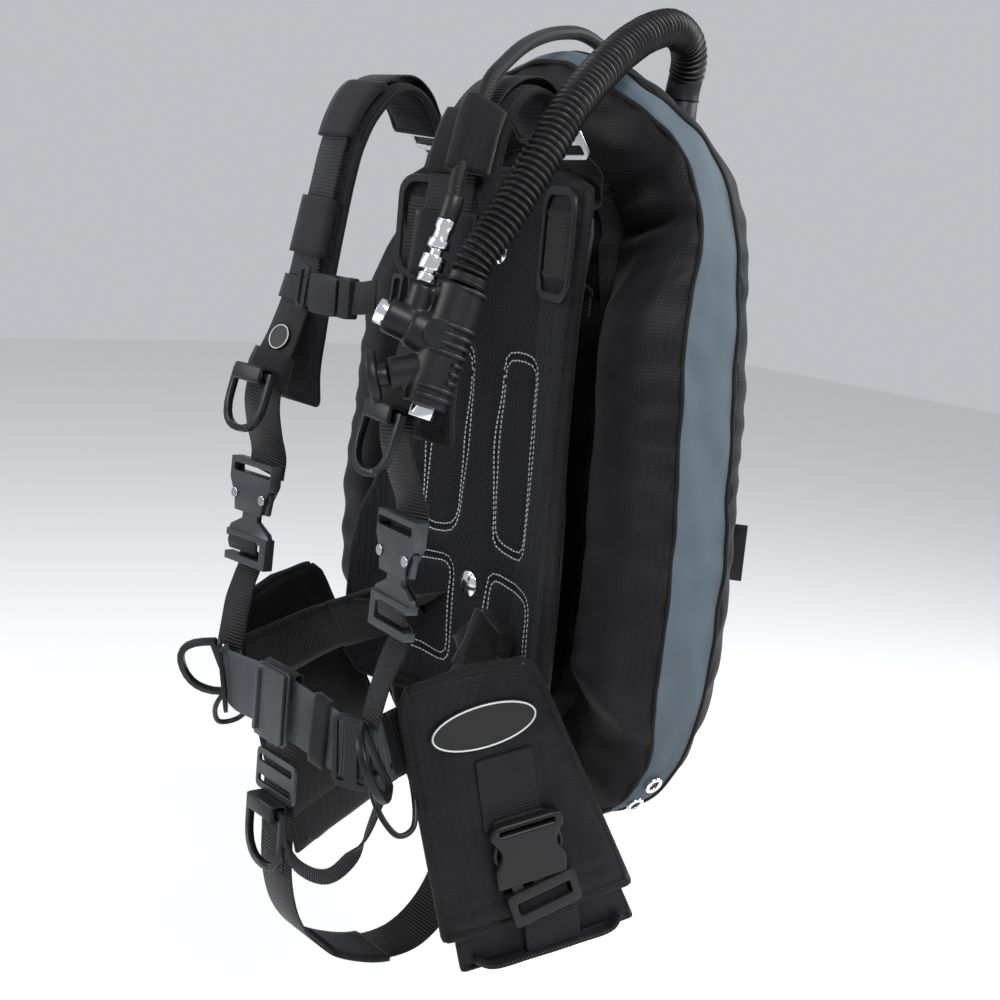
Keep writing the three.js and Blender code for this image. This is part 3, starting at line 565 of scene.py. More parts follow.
def wing_relief(at, share, y):
    """Puckers along the seams, long drag lines and one soft fold, as millimetres along Y."""
    facing = -1 if y < WING_Y else 1
    rim = math.exp(-(share / 0.13) ** 2)
    inner = math.exp(-((share - 0.92) / 0.16) ** 2)
    around = math.atan2(at.z, at.x) * 46
    pucker = math.sin(around + 3 * noise.noise(at * 0.012)) * (rim * 2.6 + inner * 1.8)
    slow = 6.5 * noise.noise(Vector((at.x * 0.012, y * 0.006, at.z * 0.011)))
    drag = 3.0 * noise.noise(Vector((at.x * 0.02, 4, at.z * 0.05)))
    body = 1 - rim
    fold = 0.0
    if facing < 0:
        across = abs(at.z - 168 - 0.30 * (abs(at.x) - 110) - 9 * noise.noise(at * 0.02))
        fold = -6.5 * math.exp(-(across / 6) ** 2) * smoothstep(abs(at.x), 80, 125) * (1 - rim)
        fold += 3.0 * math.exp(-((across - 13) / 8) ** 2) * smoothstep(abs(at.x), 80, 125) * (1 - rim)
    return facing * (pucker + body * (slow + drag) - 2.0 + fold)


def make_wing():
    stations = 5
    outer = curve_points(whole_loop(WING_OUTER), stations * 2, closed=True)
    inner = curve_points(whole_loop(WING_INNER), stations * 2, closed=True)
    front = smooth_section(LOBE_FRONT, 5)
    rear = smooth_section(LOBE_REAR, 5)
    rim = smooth_section([LOBE_REAR[-1], *LOBE_RIM, LOBE_FRONT[0]], 3)[1:-1]
    section = [*front, *rear, *rim]
    size, count = len(section), len(outer)
    gusset_from = len(front) + len(rear) - 1
    vertices = []
    for a, b in zip(outer, inner):
        slide = 5 * smoothstep(a.z, 215, 296)
        for j in range(size):
            k = (j + int(slide)) % size
            spot = section[k].lerp(section[(k + 1) % size], slide % 1)
            at = wing_point(a, b, spot.x, spot.y)
            in_gusset = j >= gusset_from or j == 0
            outward = Vector((a.x - b.x, 0, a.z - b.z)).normalized()
            if in_gusset:
                crinkle = noise.noise(Vector((at.x * 0.035, at.y * 0.05, at.z * 0.035)))
                at += outward * (2.6 * crinkle - 2.0)
            elif spot.x < 0.97:
                at.y += wing_relief(at, spot.x, spot.y)
            vertices.append(at * MM)
    faces = [(a, d, c, b) for a, b, c, d in ring_faces(count, size, closed=True)]
    wing = mesh_object("wing_bladder", vertices, faces)
    finish_piece(wing, NYLON)
    wing.data.materials.append(GUSSET)
    for index, polygon in enumerate(wing.data.polygons):
        polygon.material_index = 1 if index % size >= gusset_from else 0
    fix = bmesh.new()
    fix.from_mesh(wing.data)
    bmesh.ops.recalc_face_normals(fix, faces=fix.faces)
    fix.to_mesh(wing.data)
    fix.free()
    for name, j in (("front_piping", 0), ("rear_piping", gusset_from)):
        ring = [vertices[i * size + j] for i in range(count)]
        tube_mesh(name, ring, 0.0021, BINDING, slot="wing_fabric", sides=8, closed=True)
    for name, height in (("upper", -262), ("lower", -286)):
        i = min(range(count // 2), key=lambda k: abs(outer[k].z - height))
        away = Vector((outer[i].x - inner[i].x, 0, outer[i].z - inner[i].z)).normalized()
        middle = Vector((outer[i].x, WING_Y + 4, outer[i].z)) * MM + away * 0.0006
        side = away.cross(-FORWARD)
        ring = [middle + (side * a - FORWARD * b) * 0.0062 for a, b in ellipse(1, 1, 24)]
        tube_mesh(f"grommet_{name}", ring, 0.0018, CHROME, sides=8, closed=True)
    return wing


def make_wing_panel(wing):
    """The flat middle of the wing, with the reinforced rest for the tank."""
    inner = curve_points(whole_loop(WING_INNER), 4, closed=True)
    outline = [(p.x * 1.12 * MM, p.z * 1.03 * MM) for p in inner]
    slots = [[(s * 0.05 + x, z * MM + y) for x, y in rounded(0.013, 0.056, 0.003)]
             for s in (-1, 1) for z in (85, -105)]
    plate("wing_panel", outline, 0.0026, Vector((0, -0.0035, 0)), RIGHT, UP,
                  NYLON, holes=slots, bevel=0.0003)
    plate("tank_rest_patch", rounded(0.064, 0.19, 0.008), 0.0022, Vector((0, -0.0011, 0)),
                 RIGHT, UP, SMOOTH, slot="wing_fabric", bevel=0.0004)
    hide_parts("wing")


make_wing_panel(make_wing())

# ---- back pad ----
PAD_EDGE = [
    (0, 201), (60, 201), (98, 200), (113, 190), (118, 172), (112, 140), (107, 100), (107, 50), (109, 0),
    (114, -50), (122, -78), (131, -104), (135, -135), (136, -190), (135, -232), (124, -248), (0, -250)]
BEND = [(0, 0), (60, 0), (108, 16), (150, 47)]
PAD_FRONT, PAD_REAR = -31, -16


def bend(x):
    x = abs(x)
    for (x0, b0), (x1, b1) in zip(BEND, BEND[1:]):
        if x <= x1:
            return b0 + (b1 - b0) * (x - x0) / (x1 - x0)
    return b1


def pad_half_width(z):
    for (x0, z0), (x1, z1) in zip(PAD_EDGE[1:], PAD_EDGE[2:]):
        if z1 <= z <= z0:
            return x0 + (x1 - x0) * (z0 - z) / max(z0 - z1, 0.001)
    return 100


# Stitched lines on the pad, in X and Z: two upper channels and two lower panels.
CHANNELS = [[(22, 58), (62, 58), (70, -20), (70, -104), (26, -98), (20, -20), (22, 58)],
            [(26, -124), (92, -132), (94, -208), (22, -214), (26, -124)]]


def rounded_line(line, radius):
    """A closed outline with its corners turned into short curves."""
    ring = [Vector(p) for p in line[:-1]]
    out = []
    for k, corner in enumerate(ring):
        before, after = ring[k - 1] - corner, ring[(k + 1) % len(ring)] - corner
        start = corner + before.normalized() * min(radius, before.length / 2)
        end = corner + after.normalized() * min(radius, after.length / 2)
        out += [start.lerp(corner, t).lerp(corner.lerp(end, t), t) for t in (0, 0.33, 0.67, 1)]
    return [tuple(p) for p in out + out[:1]]


CHANNELS = [rounded_line(line, 15) for line in CHANNELS]


def near_line(x, z, line):
    best = 1e9
    for (x0, z0), (x1, z1) in zip(line, line[1:]):
        dx, dz = x1 - x0, z1 - z0
        t = min(max(((x - x0) * dx + (z - z0) * dz) / (dx * dx + dz * dz), 0), 1)
        best = min(best, math.hypot(x - x0 - t * dx, z - z0 - t * dz))
    return best


def pad_surface(x, z):
    """Y of the pad's front: crowned, pinched at its edges and along the stitching."""
    half = pad_half_width(z)
    edge = min(half - abs(x), 201 - z, z + 250)
    crown = 5.0 * (1 - math.exp(-max(edge, 0) / 9))
    groove = min(near_line(abs(x), z, line) for line in CHANNELS)
    crown -= 3.4 * math.exp(-(groove / 5) ** 2)
    crown += 0.9 * noise.noise(Vector((x * 0.03, 0, z * 0.03)))
    return PAD_FRONT + 2.4 - bend(x) - crown + 0.6


def beside_channel(line, offset, s):
    """Points on the pad's front that run that far outside (or inside) a stitched line."""
    centre = (sum(p[0] for p in line) / len(line), sum(p[1] for p in line) / len(line))
    run = []
    for (x0, z0), (x1, z1) in zip(line, line[1:]):
        steps = max(int(math.hypot(x1 - x0, z1 - z0) / 4), 1)
        for k in range(steps):
            x, z = x0 + (x1 - x0) * k / steps, z0 + (z1 - z0) * k / steps
            away = Vector((x - centre[0], z - centre[1])).normalized() * offset
            x, z = x + away.x, z + away.y
            run.append(Vector((s * x, pad_surface(x, z) - 0.5, z)) * MM)
    return run


def make_back_pad():
    columns, rows = 96, 176
    vertices, faces = [], []
    for r in range(rows + 1):
        z = 200.6 - 450.2 * r / rows
        half = pad_half_width(z) - 0.6
        for c in range(columns + 1):
            x = half * (-1 + 2 * c / columns)
            vertices.append(Vector((x, pad_surface(x, z), z)) * MM)
    front = len(vertices)
    vertices += [Vector((v.x, (PAD_REAR + 0.4 - bend(v.x / MM)) * MM, v.z)) for v in vertices]
    wide = columns + 1
    for r in range(rows):
        for c in range(columns):
            a = r * wide + c
            faces.append((a, a + wide, a + wide + 1, a + 1))
            faces.append((front + a, front + a + 1, front + a + wide + 1, front + a + wide))
    ring = [c for c in range(wide)] + [r * wide + columns for r in range(1, rows + 1)]
    ring += [rows * wide + c for c in reversed(range(columns))] + [r * wide for r in reversed(range(1, rows))]
    for a, b in zip(ring, ring[1:] + ring[:1]):
        faces.append((a, b, front + b, front + a))
    pad = finish_piece(mesh_object("quilted_pad", vertices, faces), MESH)
    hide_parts("back_pad")
    edge = [vertices[k] * 0.5 + vertices[front + k] * 0.5 for k in ring[::3]]
    tube_mesh("pad_binding", edge, 0.0058, BINDING, sides=10, closed=True)
    for side, s in SIDES:
        for index, line in enumerate(CHANNELS):
            for edge, offset in (("in", -3.2), ("out", 3.2)):
                stitches(f"pad_stitch_{side}_{index}_{edge}", beside_channel(line, offset, s), THREAD)
        at = Vector((s * 85, PAD_FRONT - bend(85) - 3.8, 151)) * MM
        plate(f"slot_frame_{side}", rounded(0.067, 0.088, 0.017), 0.0034, at, Vector((0.949, -s * 0.316, 0)),
              UP, PLASTIC, holes=[rounded(0.054, 0.074, 0.012)], bevel=0.001)


make_back_pad()

# ---- shoulder straps ----
ON_PLATE = (0.949, -0.316, 0)
SLOT_PASS = [(-16, -7), (-19.5, -2.5), (-26, 0), (-34, 0.8), (-39.5, 4), (-41.8, 10)]


def slot_pass(z, step):
    return [(85, y, z + step * dz) for y, dz in SLOT_PASS]


SHOULDER_ROUTE = [
    ((85, -15.4, 98), ON_PLATE), *slot_pass(122, 1), (85, -42, 151), *reversed(slot_pass(180, -1)),
    ((85, -15.4, 194), ON_PLATE), ((85, -18, 204), ON_PLATE), ((85, -26, 211), (0.98, -0.2, 0)),
    ((84.5, -37, 216), (1, 0, 0)), (84, -48, 226), (83, -59, 243), (82, -70, 259), (82, -86, 269.5),
    (82, -104, 268), (83, -121, 257), ((84, -134, 238), (0.995, 0.08, 0)),
    ((85, -143, 212), (0.99, 0.13, 0)), (86, -149, 180), ((88, -155, 140), (0.995, 0.1, 0)),
    ((90, -162, 95), (0.998, 0.05, 0)), ((92, -172, 60), (1, 0, 0)), ((94, -183, 30), (0.997, -0.08, 0)),
    ((97, -186, 3), (0.994, -0.1, 0)), (101, -180, -22), (104.2, -172.4, -44), (106.2, -172, -60)]
SHOULDER_PAD_ROUTE = [
    ((84, -63, 229), (1, 0, 0)), (83, -71, 243), (82, -80, 253), (82, -91, 259), (82, -104, 257.5),
    (83, -116, 248), ((84, -126, 231), (0.995, 0.08, 0)), ((85, -133.5, 208), (0.99, 0.13, 0)),
    (86, -139, 180), ((88, -145, 140), (0.995, 0.1, 0)), ((90, -151, 98), (0.998, 0.05, 0)),
    ((91, -156, 60), (1, 0, 0)), (92, -158, 30), (92, -156, 5)]
WEB_WIDTH = 0.048


def edge_line(frames, x, lift):
    return [at + across * x + normal * lift for at, across, normal, _ in frames]


def near_z(frames, low, high):
    """The stretch of a strap between two heights, on its chest side."""
    return [f for f in frames if low * MM <= f[0].z <= high * MM and f[0].y < -0.1]


def pad_ends(t):
    return min(1.0, 0.45 + 8 * min(t, 1 - t))


def make_shoulder(side, s):
    frames = strap_frames(SHOULDER_ROUTE, 10, s)
    web = sweep(f"shoulder_web_{side}", frames, web_section(WEB_WIDTH, 0.0022))
    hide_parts(f"shoulder_webbing_{side}")
    pad_frames = strap_frames(SHOULDER_PAD_ROUTE, 12, s)
    pad = sweep(f"shoulder_cushion_{side}", pad_frames, pad_section(0.060, 0.0125), MESH, taper=pad_ends)
    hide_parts(f"shoulder_pad_{side}")
    loop = [*edge_line(pad_frames, 0.0298, 0), *reversed(edge_line(pad_frames, -0.0298, 0))]
    tube_mesh(f"shoulder_binding_{side}", loop, 0.0034, BINDING, sides=10, closed=True)
    for index, (low, high) in enumerate(((196, 244) if s > 0 else (216, 262), (118, 172))):
        stretch = near_z(frames, low, high)
        section = pad_section(0.060, 0.0062, rim=0.5)
        if s > 0 and index == 0:
            section = over_hose(sign_of(stretch))
        sweep(f"strap_sleeve_{side}_{index}", stretch, section, SMOOTH, offset=0.0008 * sign_of(stretch))
    sweep(f"chest_loop_band_{side}", near_z(frames, 84, 108), pad_section(0.055, 0.0068, rim=0.6))
    badge = near_z(frames, 44, 66)
    middle = badge[len(badge) // 2]
    facing = middle[2] if middle[2].y < 0 else -middle[2]
    oval = ellipse(0.013, 0.010, 32)
    up = facing.cross(middle[1])
    up = up if up.z > 0 else -up
    plate(f"blank_badge_{side}", oval, 0.0016, middle[0] + facing * 0.0022, middle[1], up, RUBBER,
          bevel=0.0005)
    rim = [middle[0] + facing * 0.0034 + middle[1] * x + up * y for x, y in oval]
    tube_mesh(f"blank_badge_edge_{side}", rim, 0.0005, THREAD, sides=6, closed=True)
    sweep(f"ring_keeper_wrap_{side}", near_z(frames, 16, 44), pad_section(0.054, 0.0075, rim=0.7), SMOOTH)
    return frames


def over_hose(sign):
    """The sleeve that holds the low pressure hose: flat over the strap, raised over the hose beside it."""
    steps = [-0.026 + 0.060 * k / 20 for k in range(21)]
    raised = [(x, sign * (0.0034 + 0.0195 * math.exp(-((x - 0.019) / 0.0125) ** 4))) for x in steps]
    flat = [(x, -sign * 0.0030) for x in steps]
    return flat + raised[::-1] if sign > 0 else raised + flat[::-1]


def sign_of(stretch):
    """+1 where the strap's normal faces the diver's front."""
    return 1 if stretch[len(stretch) // 2][2].y < 0 else -1


shoulder_frames = {side: make_shoulder(side, s) for side, s in SIDES}


def make_triglides():
    """Three-bar steel slides where each shoulder strap leaves the top of the plate."""
    for side in shoulder_frames:
        stretch = [f for f in shoulder_frames[side] if 0.222 < f[0].z < 0.236 and f[0].y > -0.1]
        at, across, normal, _ = stretch[len(stretch) // 2]
        web_slide(f"shoulder_slide_{side}", rounded(0.058, 0.034, 0.006), 0.0032, 0.0075,
                  at + normal * 0.0001, across, normal.cross(across), STEEL)


make_triglides()

# ---- waist belt ----
BELT_ROUTE = [
    ((54.8, -7.2, -144), (0.949, 0, -0.315)), (52.2, -7.2, -153), (51, -9.6, -157), (50.4, -13.4, -159.3),
    (50.3, -19, -160.6), (51, -27, -161.5), (52, -36, -163), (54, -46, -168),
    ((61, -60, -176), (0.85, 0.1, -0.52)), ((76, -74, -184), (0.6, 0.27, -0.75)),
    ((93, -88, -192), (0.35, 0.38, -0.85)), ((104, -108, -201), (0.2, 0.42, -0.88)),
    ((108, -135, -212), (0.1, 0.42, -0.9)), ((110, -168, -223), (0.1, 0.42, -0.9)),
    ((109, -190, -229), (0.1, 0.4, -0.91)), ((98, -202, -230), (0.05, 0.2, -0.98)),
    ((75, -207, -228), (0, 0.05, -1)), ((40, -208, -225), (0, 0, -1)), (1.6, -208, -223)]


HIP_RING = [
    (110, -192, -248), (124, -196, -266), (137, -184, -286), (134, -168, -284), (120, -160, -262),
    (110, -162, -246)]


def make_belt():
    for side, s in SIDES:
        frames = strap_frames(BELT_ROUTE, 10, s)
        web = web_section(WEB_WIDTH, 0.0022)
        rear = sweep(f"waist_web_{side}", [f for f in frames if f[0].y > -0.182], web)
        front = [f for f in frames if f[0].y < -0.180]
        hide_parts(f"waist_belt_{side}")
        sweep(f"waist_front_{side}", front, web_section(0.049, 0.0026), GREY_WEB)
        dark = [f for f in frames if -0.178 < f[0].y < -0.062]
        sweep(f"waist_sleeve_{side}", dark, pad_section(0.052, 0.0060, rim=0.55))
        if s > 0:
            keeper = [f for f in front if 0.050 < abs(f[0].x) < 0.074]
            sweep("waist_keeper", keeper, pad_section(0.056, 0.0078, rim=0.75), SMOOTH, slot="black_webbing")
        slide = [f for f in frames if 0.084 < abs(f[0].x) < 0.106 and f[0].y < -0.19]
        at, across, normal, _ = slide[len(slide) // 2]
        facing = normal if normal.y < 0 else -normal
        web_slide(f"hip_slide_{side}", rounded(0.060, 0.032, 0.008), 0.0036, 0.0065, at + facing * 0.0034,
                  across, facing.cross(across), DARK_METAL)
        ring = [Vector((x * s, y, z)) * MM for x, y, z in HIP_RING]
        tube_mesh(f"second_hip_ring_{side}", curve_points(ring, 8, closed=True), 0.0023, DARK_METAL, sides=10,
                  closed=True)


make_belt()

# ---- crotch and chest straps ----
CROTCH_ROUTE = [
    ((0, -7.2, -204), (1, 0, 0)), (0, -7.6, -214), (0, -10.9, -222), (0, -14.1, -229), (0, -14.4, -240),
    (0, -15, -262), (0, -14, -300), (0, -14, -340), (0, -22, -390), (0, -40, -428), (0, -68, -450),
    (0, -100, -454), (0, -132, -447), (0, -165, -431), (0, -188, -405), (0, -200, -370), (0, -203, -330),
    (0, -203.6, -290), (0, -203.8, -250), (0, -203.8, -215), (0, -203.8, -198), (0, -205, -194.4),
    (0, -207.7, -193), (0, -210.4, -194.4), (0, -211.6, -198), (0, -211.6, -210)]
CHEST_LEFT_ROUTE = [((13.4, -176.5, 97.5), (0, 0.1, 1)), (26, -176.5, 99), (40, -175, 102)]
CHEST_RIGHT_ROUTE = [((-63, -171, 97), (0, 0.1, 1)), (-52, -174, 96), (-44.5, -175.6, 96)]


def make_crotch():
    frames = strap_frames(CROTCH_ROUTE, 9)
    web = sweep("crotch_web", frames, web_section(WEB_WIDTH, 0.0018))
    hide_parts("crotch_strap")
    sleeve = [f for f in frames if -0.456 < f[0].z < -0.436 and -0.155 < f[0].y < -0.1]
    sweep("crotch_sleeve", sleeve, pad_section(0.054, 0.0066, rim=0.6), SMOOTH, slot="black_webbing")
    web_slide("crotch_slide", rounded(0.058, 0.034, 0.005), 0.003, 0.006, Vector((0, -0.2075, -0.284)),
              RIGHT, UP, GREY_METAL)
    half = 0.017
    box_and_cross = ((-1, -1), (1, 1), (1, -1), (-1, 1), (-1, -1), (1, -1), (1, 1), (-1, 1))
    corners = [Vector((x * half, -0.2050, -0.345 + z * half)) for x, z in box_and_cross]
    stitches("crotch_cross_stitch", corners, DARK_THREAD, step=0.0035)


def make_chest():
    for side, rows, body, node in (("left", CHEST_LEFT_ROUTE, "chest_left", "chest_strap_left"),
                                   ("right", CHEST_RIGHT_ROUTE, ROOT, "chest_strap_right")):
        frames = strap_frames(rows, 12)
        web = sweep(f"chest_web_{side}", frames, web_section(0.025, 0.0018), body=body)
        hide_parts(node)
    for side, s in SIDES:
        at = Vector((0.062, -0.172, 0.104) if s > 0 else (-0.069, -0.172, 0.098))
        plate(f"chest_loop_{side}", rounded(0.034, 0.016, 0.003), 0.003, at, Vector((0, 0.1, 1)),
              Vector((1, -0.1, 0)), PLASTIC, holes=[rounded(0.027, 0.009, 0.002)])


make_crotch()
make_chest()

BUCKLE_WIDTH = (0.994, -0.1, 0)
LOWER_ROUTE = [
    ((111.3, -184, -125), BUCKLE_WIDTH), (111.6, -181, -128), (112.4, -177.8, -133), (112.8, -178.5, -141),
    (112, -183, -152), ((110, -189, -170), (0.98, -0.2, 0)), (108, -193, -190), (107, -196, -208)]
WRAP_ROUTE = [
    ((111.0, -183, -114), BUCKLE_WIDTH), (111.2, -186.5, -117), (111.3, -187.5, -122), (111.3, -186, -127)]
COVER_ROUTE = [((56, -44, -166), (0.42, 0.2, -0.88)), (68, -59, -176), (83, -77, -186), (98, -98, -196)]
TIE_ROUTE = [
    ((8, -205.5, -334), (0, 0, 1)), (40, -205, -346), (75, -200, -340), ((100, -190, -306), (0.5, 0, 0.8)),
    ((110, -180, -262), (0.8, 0, 0.4))]


def make_lower_straps():
    for side, s in SIDES:
        lower = strap_frames(LOWER_ROUTE, 10, s)
        web = sweep(f"lower_web_{side}", lower, web_section(0.031, 0.0022), body=None)
        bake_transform(web)
        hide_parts(f"lower_webbing_{side}")
    for side, s in SIDES:
        wrap = strap_frames(WRAP_ROUTE, 8, s)
        sweep(f"tongue_wrap_{side}", wrap, web_section(0.041, 0.0034), body=f"tongue_{side}")
        cover = strap_frames(COVER_ROUTE, 10, s)
        sweep(f"belt_cover_{side}", cover, pad_section(0.056, 0.006, rim=0.6))
    sweep("hip_tie", strap_frames(TIE_ROUTE, 12), web_section(0.012, 0.0016))


make_lower_straps()

# ---- weight pockets ----
POCKET_TOP = Vector((147, -138.3, -167.8)) * MM
POCKET_DOWN = Vector((0.0366, 0.4025, -0.9147)).normalized()
POCKET_OUT = Vector((0.9588, -0.2743, -0.0823)).normalized()
POCKET_ACROSS = Vector((0.284, 0.874, 0.396)).normalized()


def in_pocket(w, h, n, s):
    at = POCKET_TOP + POCKET_ACROSS * (w * MM) + POCKET_DOWN * (h * MM) + POCKET_OUT * (n * MM)
    return Vector((at.x * s, at.y, at.z))


def bag_point(bag, t, angle, s):
    """A point on a stuffed cloth bag: rounded sides, square top and bottom, a soft belly and wrinkles."""
    low, high, back, front, swell, trim, seed = bag
    height = low + (high - low) * t
    corner = 1 - min(t / 0.07, 1)
    half = (51 + 26 * max(height, 0) / 220 - trim) * (1 - 0.16 * corner ** 2)
    ends = max(0.0, 1 - (2 * t - 1) ** 8) ** 0.5
    c, q = math.cos(angle), math.sin(angle)
    w = half * math.copysign(abs(c) ** 0.45, c)
    depth = (front - back) / 2 * (0.35 + 0.65 * ends)
    n = (front + back) / 2 + depth * math.copysign(abs(q) ** 0.6, q)
    h = height + 0.163 * w - 5 * corner ** 2 * (1 - abs(w) / half)
    belly = swell * math.sin(math.pi * t) ** 0.7 * max(0, 1 - (w / half) ** 4)
    wrinkle = 1.8 * noise.noise(Vector((w * 0.035, h * 0.022, seed)))
    wrinkle += 1.0 * noise.noise(Vector((w * 0.02, h * 0.07, seed + 5)))
    crease = -1.6 * math.exp(-((h - 196 - 0.15 * w) / 2.5) ** 2)
    if q > 0:
        n += belly + (wrinkle + crease) * max(0, 1 - abs(w / half) ** 6)
    return in_pocket(w, h, n, s)


def bag_mesh(name, bag, s):
    rows, around = 60, 64
    vertices = [bag_point(bag, r / rows, 2 * math.pi * k / around, s) for r in range(rows + 1)
                for k in range(around)]
    faces = ring_faces(rows + 1, around)
    return mesh_object(name, vertices, [face[::-1] for face in faces] if s > 0 else faces)


def bag_rim(bag, s):
    """The edge that the binding follows: down one side, across the bottom, up the other and over the top."""
    steps = [k / 24 for k in range(24)]
    right = [bag_point(bag, 0.01 + 0.98 * t, 0, s) for t in steps]
    bottom = [bag_point(bag, 1, math.pi * t, s) for t in steps]
    left = [bag_point(bag, 0.99 - 0.98 * t, math.pi, s) for t in steps]
    top = [bag_point(bag, 0, math.pi * (1 - t), s) for t in steps]
    return right + bottom + left + top


def pocket_patch(name, w, h, width, height, n, s, body=ROOT, thickness=0.0016, turn=0.16):
    """A rectangle of webbing sewn on a pocket, turned a little from the pocket's own axes."""
    across = POCKET_ACROSS + POCKET_DOWN * turn
    up = -(POCKET_DOWN - POCKET_ACROSS * turn)
    mirror = Vector((s, 1, 1))
    plate(name, rounded(width * MM, height * MM, 3 * MM), thickness, in_pocket(w, h, n, s),
          across * mirror * s, up * mirror, WEBBING, body)


COVER_BAG = (0, 220, -17, 0.2, 1.4, 0, 4)
POUCH_BAG = (60, 254, -14.5, -3.6, 0.2, 9, 12)


HOUSING_HALF = [
    (20, 26), (27, 25), (30, 21), (30, 15), (26, 9), (23, 3), (23, -2), (26, -7), (29, -13), (29, -29)]
PRONG = [(20, 12), (24.5, 8), (27, 2), (27, -4), (24, -11), (21, -14)]
HANDLE = [(-62, 234, -6), (-52, 244, -4), (-20, 250, -2), (20, 257, -2), (52, 262, -4), (62, 256, -6)]


def make_pocket(side, s):
    pouch_body = f"pouch_{side}"
    cover = finish_piece(bag_mesh(f"pocket_cover_{side}", COVER_BAG, s), NYLON)
    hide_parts(f"weight_pocket_{side}")
    tube_mesh(f"pocket_binding_{side}", bag_rim(COVER_BAG, s), 0.0042, BINDING, slot="wing_fabric", sides=10,
              closed=True)
    pouch = finish_piece(bag_mesh(f"pouch_bag_{side}", POUCH_BAG, s), NYLON, pouch_body)
    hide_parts(f"weight_pouch_{side}")
    tube_mesh(f"pouch_binding_{side}", bag_rim(POUCH_BAG, s)[:72], 0.0026, BINDING, pouch_body,
              slot="wing_fabric", sides=8)
    pocket_patch(f"pocket_strap_{side}", 3, 100, 46, 62, 2.3, s)
    pocket_patch(f"pocket_strap_fold_{side}", 3, 128, 42, 12, 4.0, s, thickness=0.004)
    mirror = Vector((s, 1, 1))
    across = (POCKET_ACROSS + POCKET_DOWN * 0.16).normalized()
    up = -(POCKET_DOWN - POCKET_ACROSS * 0.16).normalized()
    oval = ellipse(0.043, 0.0185, 40)
    middle = in_pocket(0, 40, 2.6, 1)
    plate(f"pocket_badge_{side}", oval, 0.0012, middle * mirror, across * mirror * s, up * mirror,
          RUBBER, bevel=0.0004)
    ring = [(middle + across * (x * 0.96) + up * (y * 0.93) + POCKET_OUT * 0.0008) * mirror for x, y in oval]
    tube_mesh(f"pocket_badge_edge_{side}", ring, 0.0007, THREAD, slot="wing_fabric", sides=6, closed=True)
    shell = [(x * MM, y * MM) for x, y in HOUSING_HALF]
    shell += [(-x, y) for x, y in reversed(shell)]
    housing = plate(f"pocket_housing_{side}", shell, 0.011, in_pocket(4, 152, 6.2, s), across * mirror * s,
                    up * mirror, PLASTIC, bevel=0.0022,
                    holes=[[(x, y + 0.0195) for x, y in rounded(0.046, 0.004, 0.0015)]])
    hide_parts(f"pocket_buckle_female_{side}")
    right, above = across * mirror, up * mirror
    for index, turn in enumerate((-1, 1)):
        bow = [in_pocket(4, 152, 6.5, s) + right * (turn * x * MM) + above * (y * MM) for x, y in PRONG]
        tube_mesh(f"prong_bow_{side}_{index}", curve_points(bow, 5), 0.0016, PLASTIC, pouch_body, sides=8)
    pocket_patch(f"pouch_strap_{side}", 6, 230, 46, 44, -0.6, s, pouch_body, 0.0026)
    pocket_patch(f"pouch_web_{side}", 4, 200, 42, 20, 5.5, s, pouch_body, 0.0026, turn=0)
    rows = [(in_pocket(*at, 1), POCKET_OUT) for at in HANDLE]
    handle = strap_frames(rows, 8, s, scale=1)
    sweep(f"pouch_handle_{side}", handle, web_section(0.016, 0.0036), body=pouch_body)


for side, s in SIDES:
    make_pocket(side, s)

# ---- CAD pieces that keep their shape ----
FINISHES = (
    (GREY_METAL, 0.0007, ("backplate", "belt_buckle_plate", "belt_buckle_frame")),
    (PLASTIC, 0.0009, ("upper_cam_lever", "lower_cam_lever", "dump_valve", "dump_pull", "chest_buckle_female",
                       "chest_buckle_male", "crotch_keeper")),
    (RUBBER, 0.0012, ("mouthpiece", "wing_elbow")),
    (CHROME, 0.0006, ("upper_book_screw", "lower_book_screw", "inflate_button", "deflate_button",
                      "quick_disconnect", "qd_collar")),
    (DARK_METAL, 0.0019, ("crotch_ring",)),
)
PAIR_FINISHES = (
    (GREY_METAL, 0.0005, ("buckle_frame", "buckle_tongue", "buckle_outer_clip", "buckle_inner_clip")),
    (DARK_METAL, 0.0019, ("shoulder_ring", "hip_ring")),
    (PLASTIC, 0.001, ("ring_keeper", "pocket_buckle_male")),
)
for material, edge, nodes in FINISHES:
    for node in nodes:
        shade_node(node, material, edge)
for material, edge, bases in PAIR_FINISHES:
    for base in bases:
        for side in ("left", "right"):
            shade_node(f"{base}_{side}", material, edge)
for node in ("upper_tank_band", "lower_tank_band"):
    band_web = woven(node + "_web", (0.0065, 0.0065, 0.0076), 0.0014, 0.55, 0.8, use_uv=False)
    shade_node(node, band_web, 0.0002)

# ---- inflator detail ----
GRIP_AT = Vector((138, -179.6, 78.3)) * MM
GRIP_S = Vector((-0.6437, -0.727, 0.2378)).normalized()
GRIP_T = Vector((0.01, 0.3028, 0.953)).normalized()
GRIP_N = GRIP_S.cross(GRIP_T).normalized()


def in_grip(s, t, n=0.0):
    return GRIP_AT + GRIP_S * (s * MM) + GRIP_T * (t * MM) + GRIP_N * (n * MM)


def bar_mesh(bars):
    """Round bars between points of the grip, as one loose mesh ready to be fused."""
    made = bmesh.new()
    for radius, start, end in bars:
        a, b = in_grip(*start), in_grip(*end)
        turn = UP.rotation_difference(b - a).to_matrix().to_4x4()
        bmesh.ops.create_cone(made, cap_ends=True, segments=28, radius1=radius * MM, radius2=radius * MM,
                              depth=(b - a).length, matrix=Matrix.Translation((a + b) / 2) @ turn)
    return made


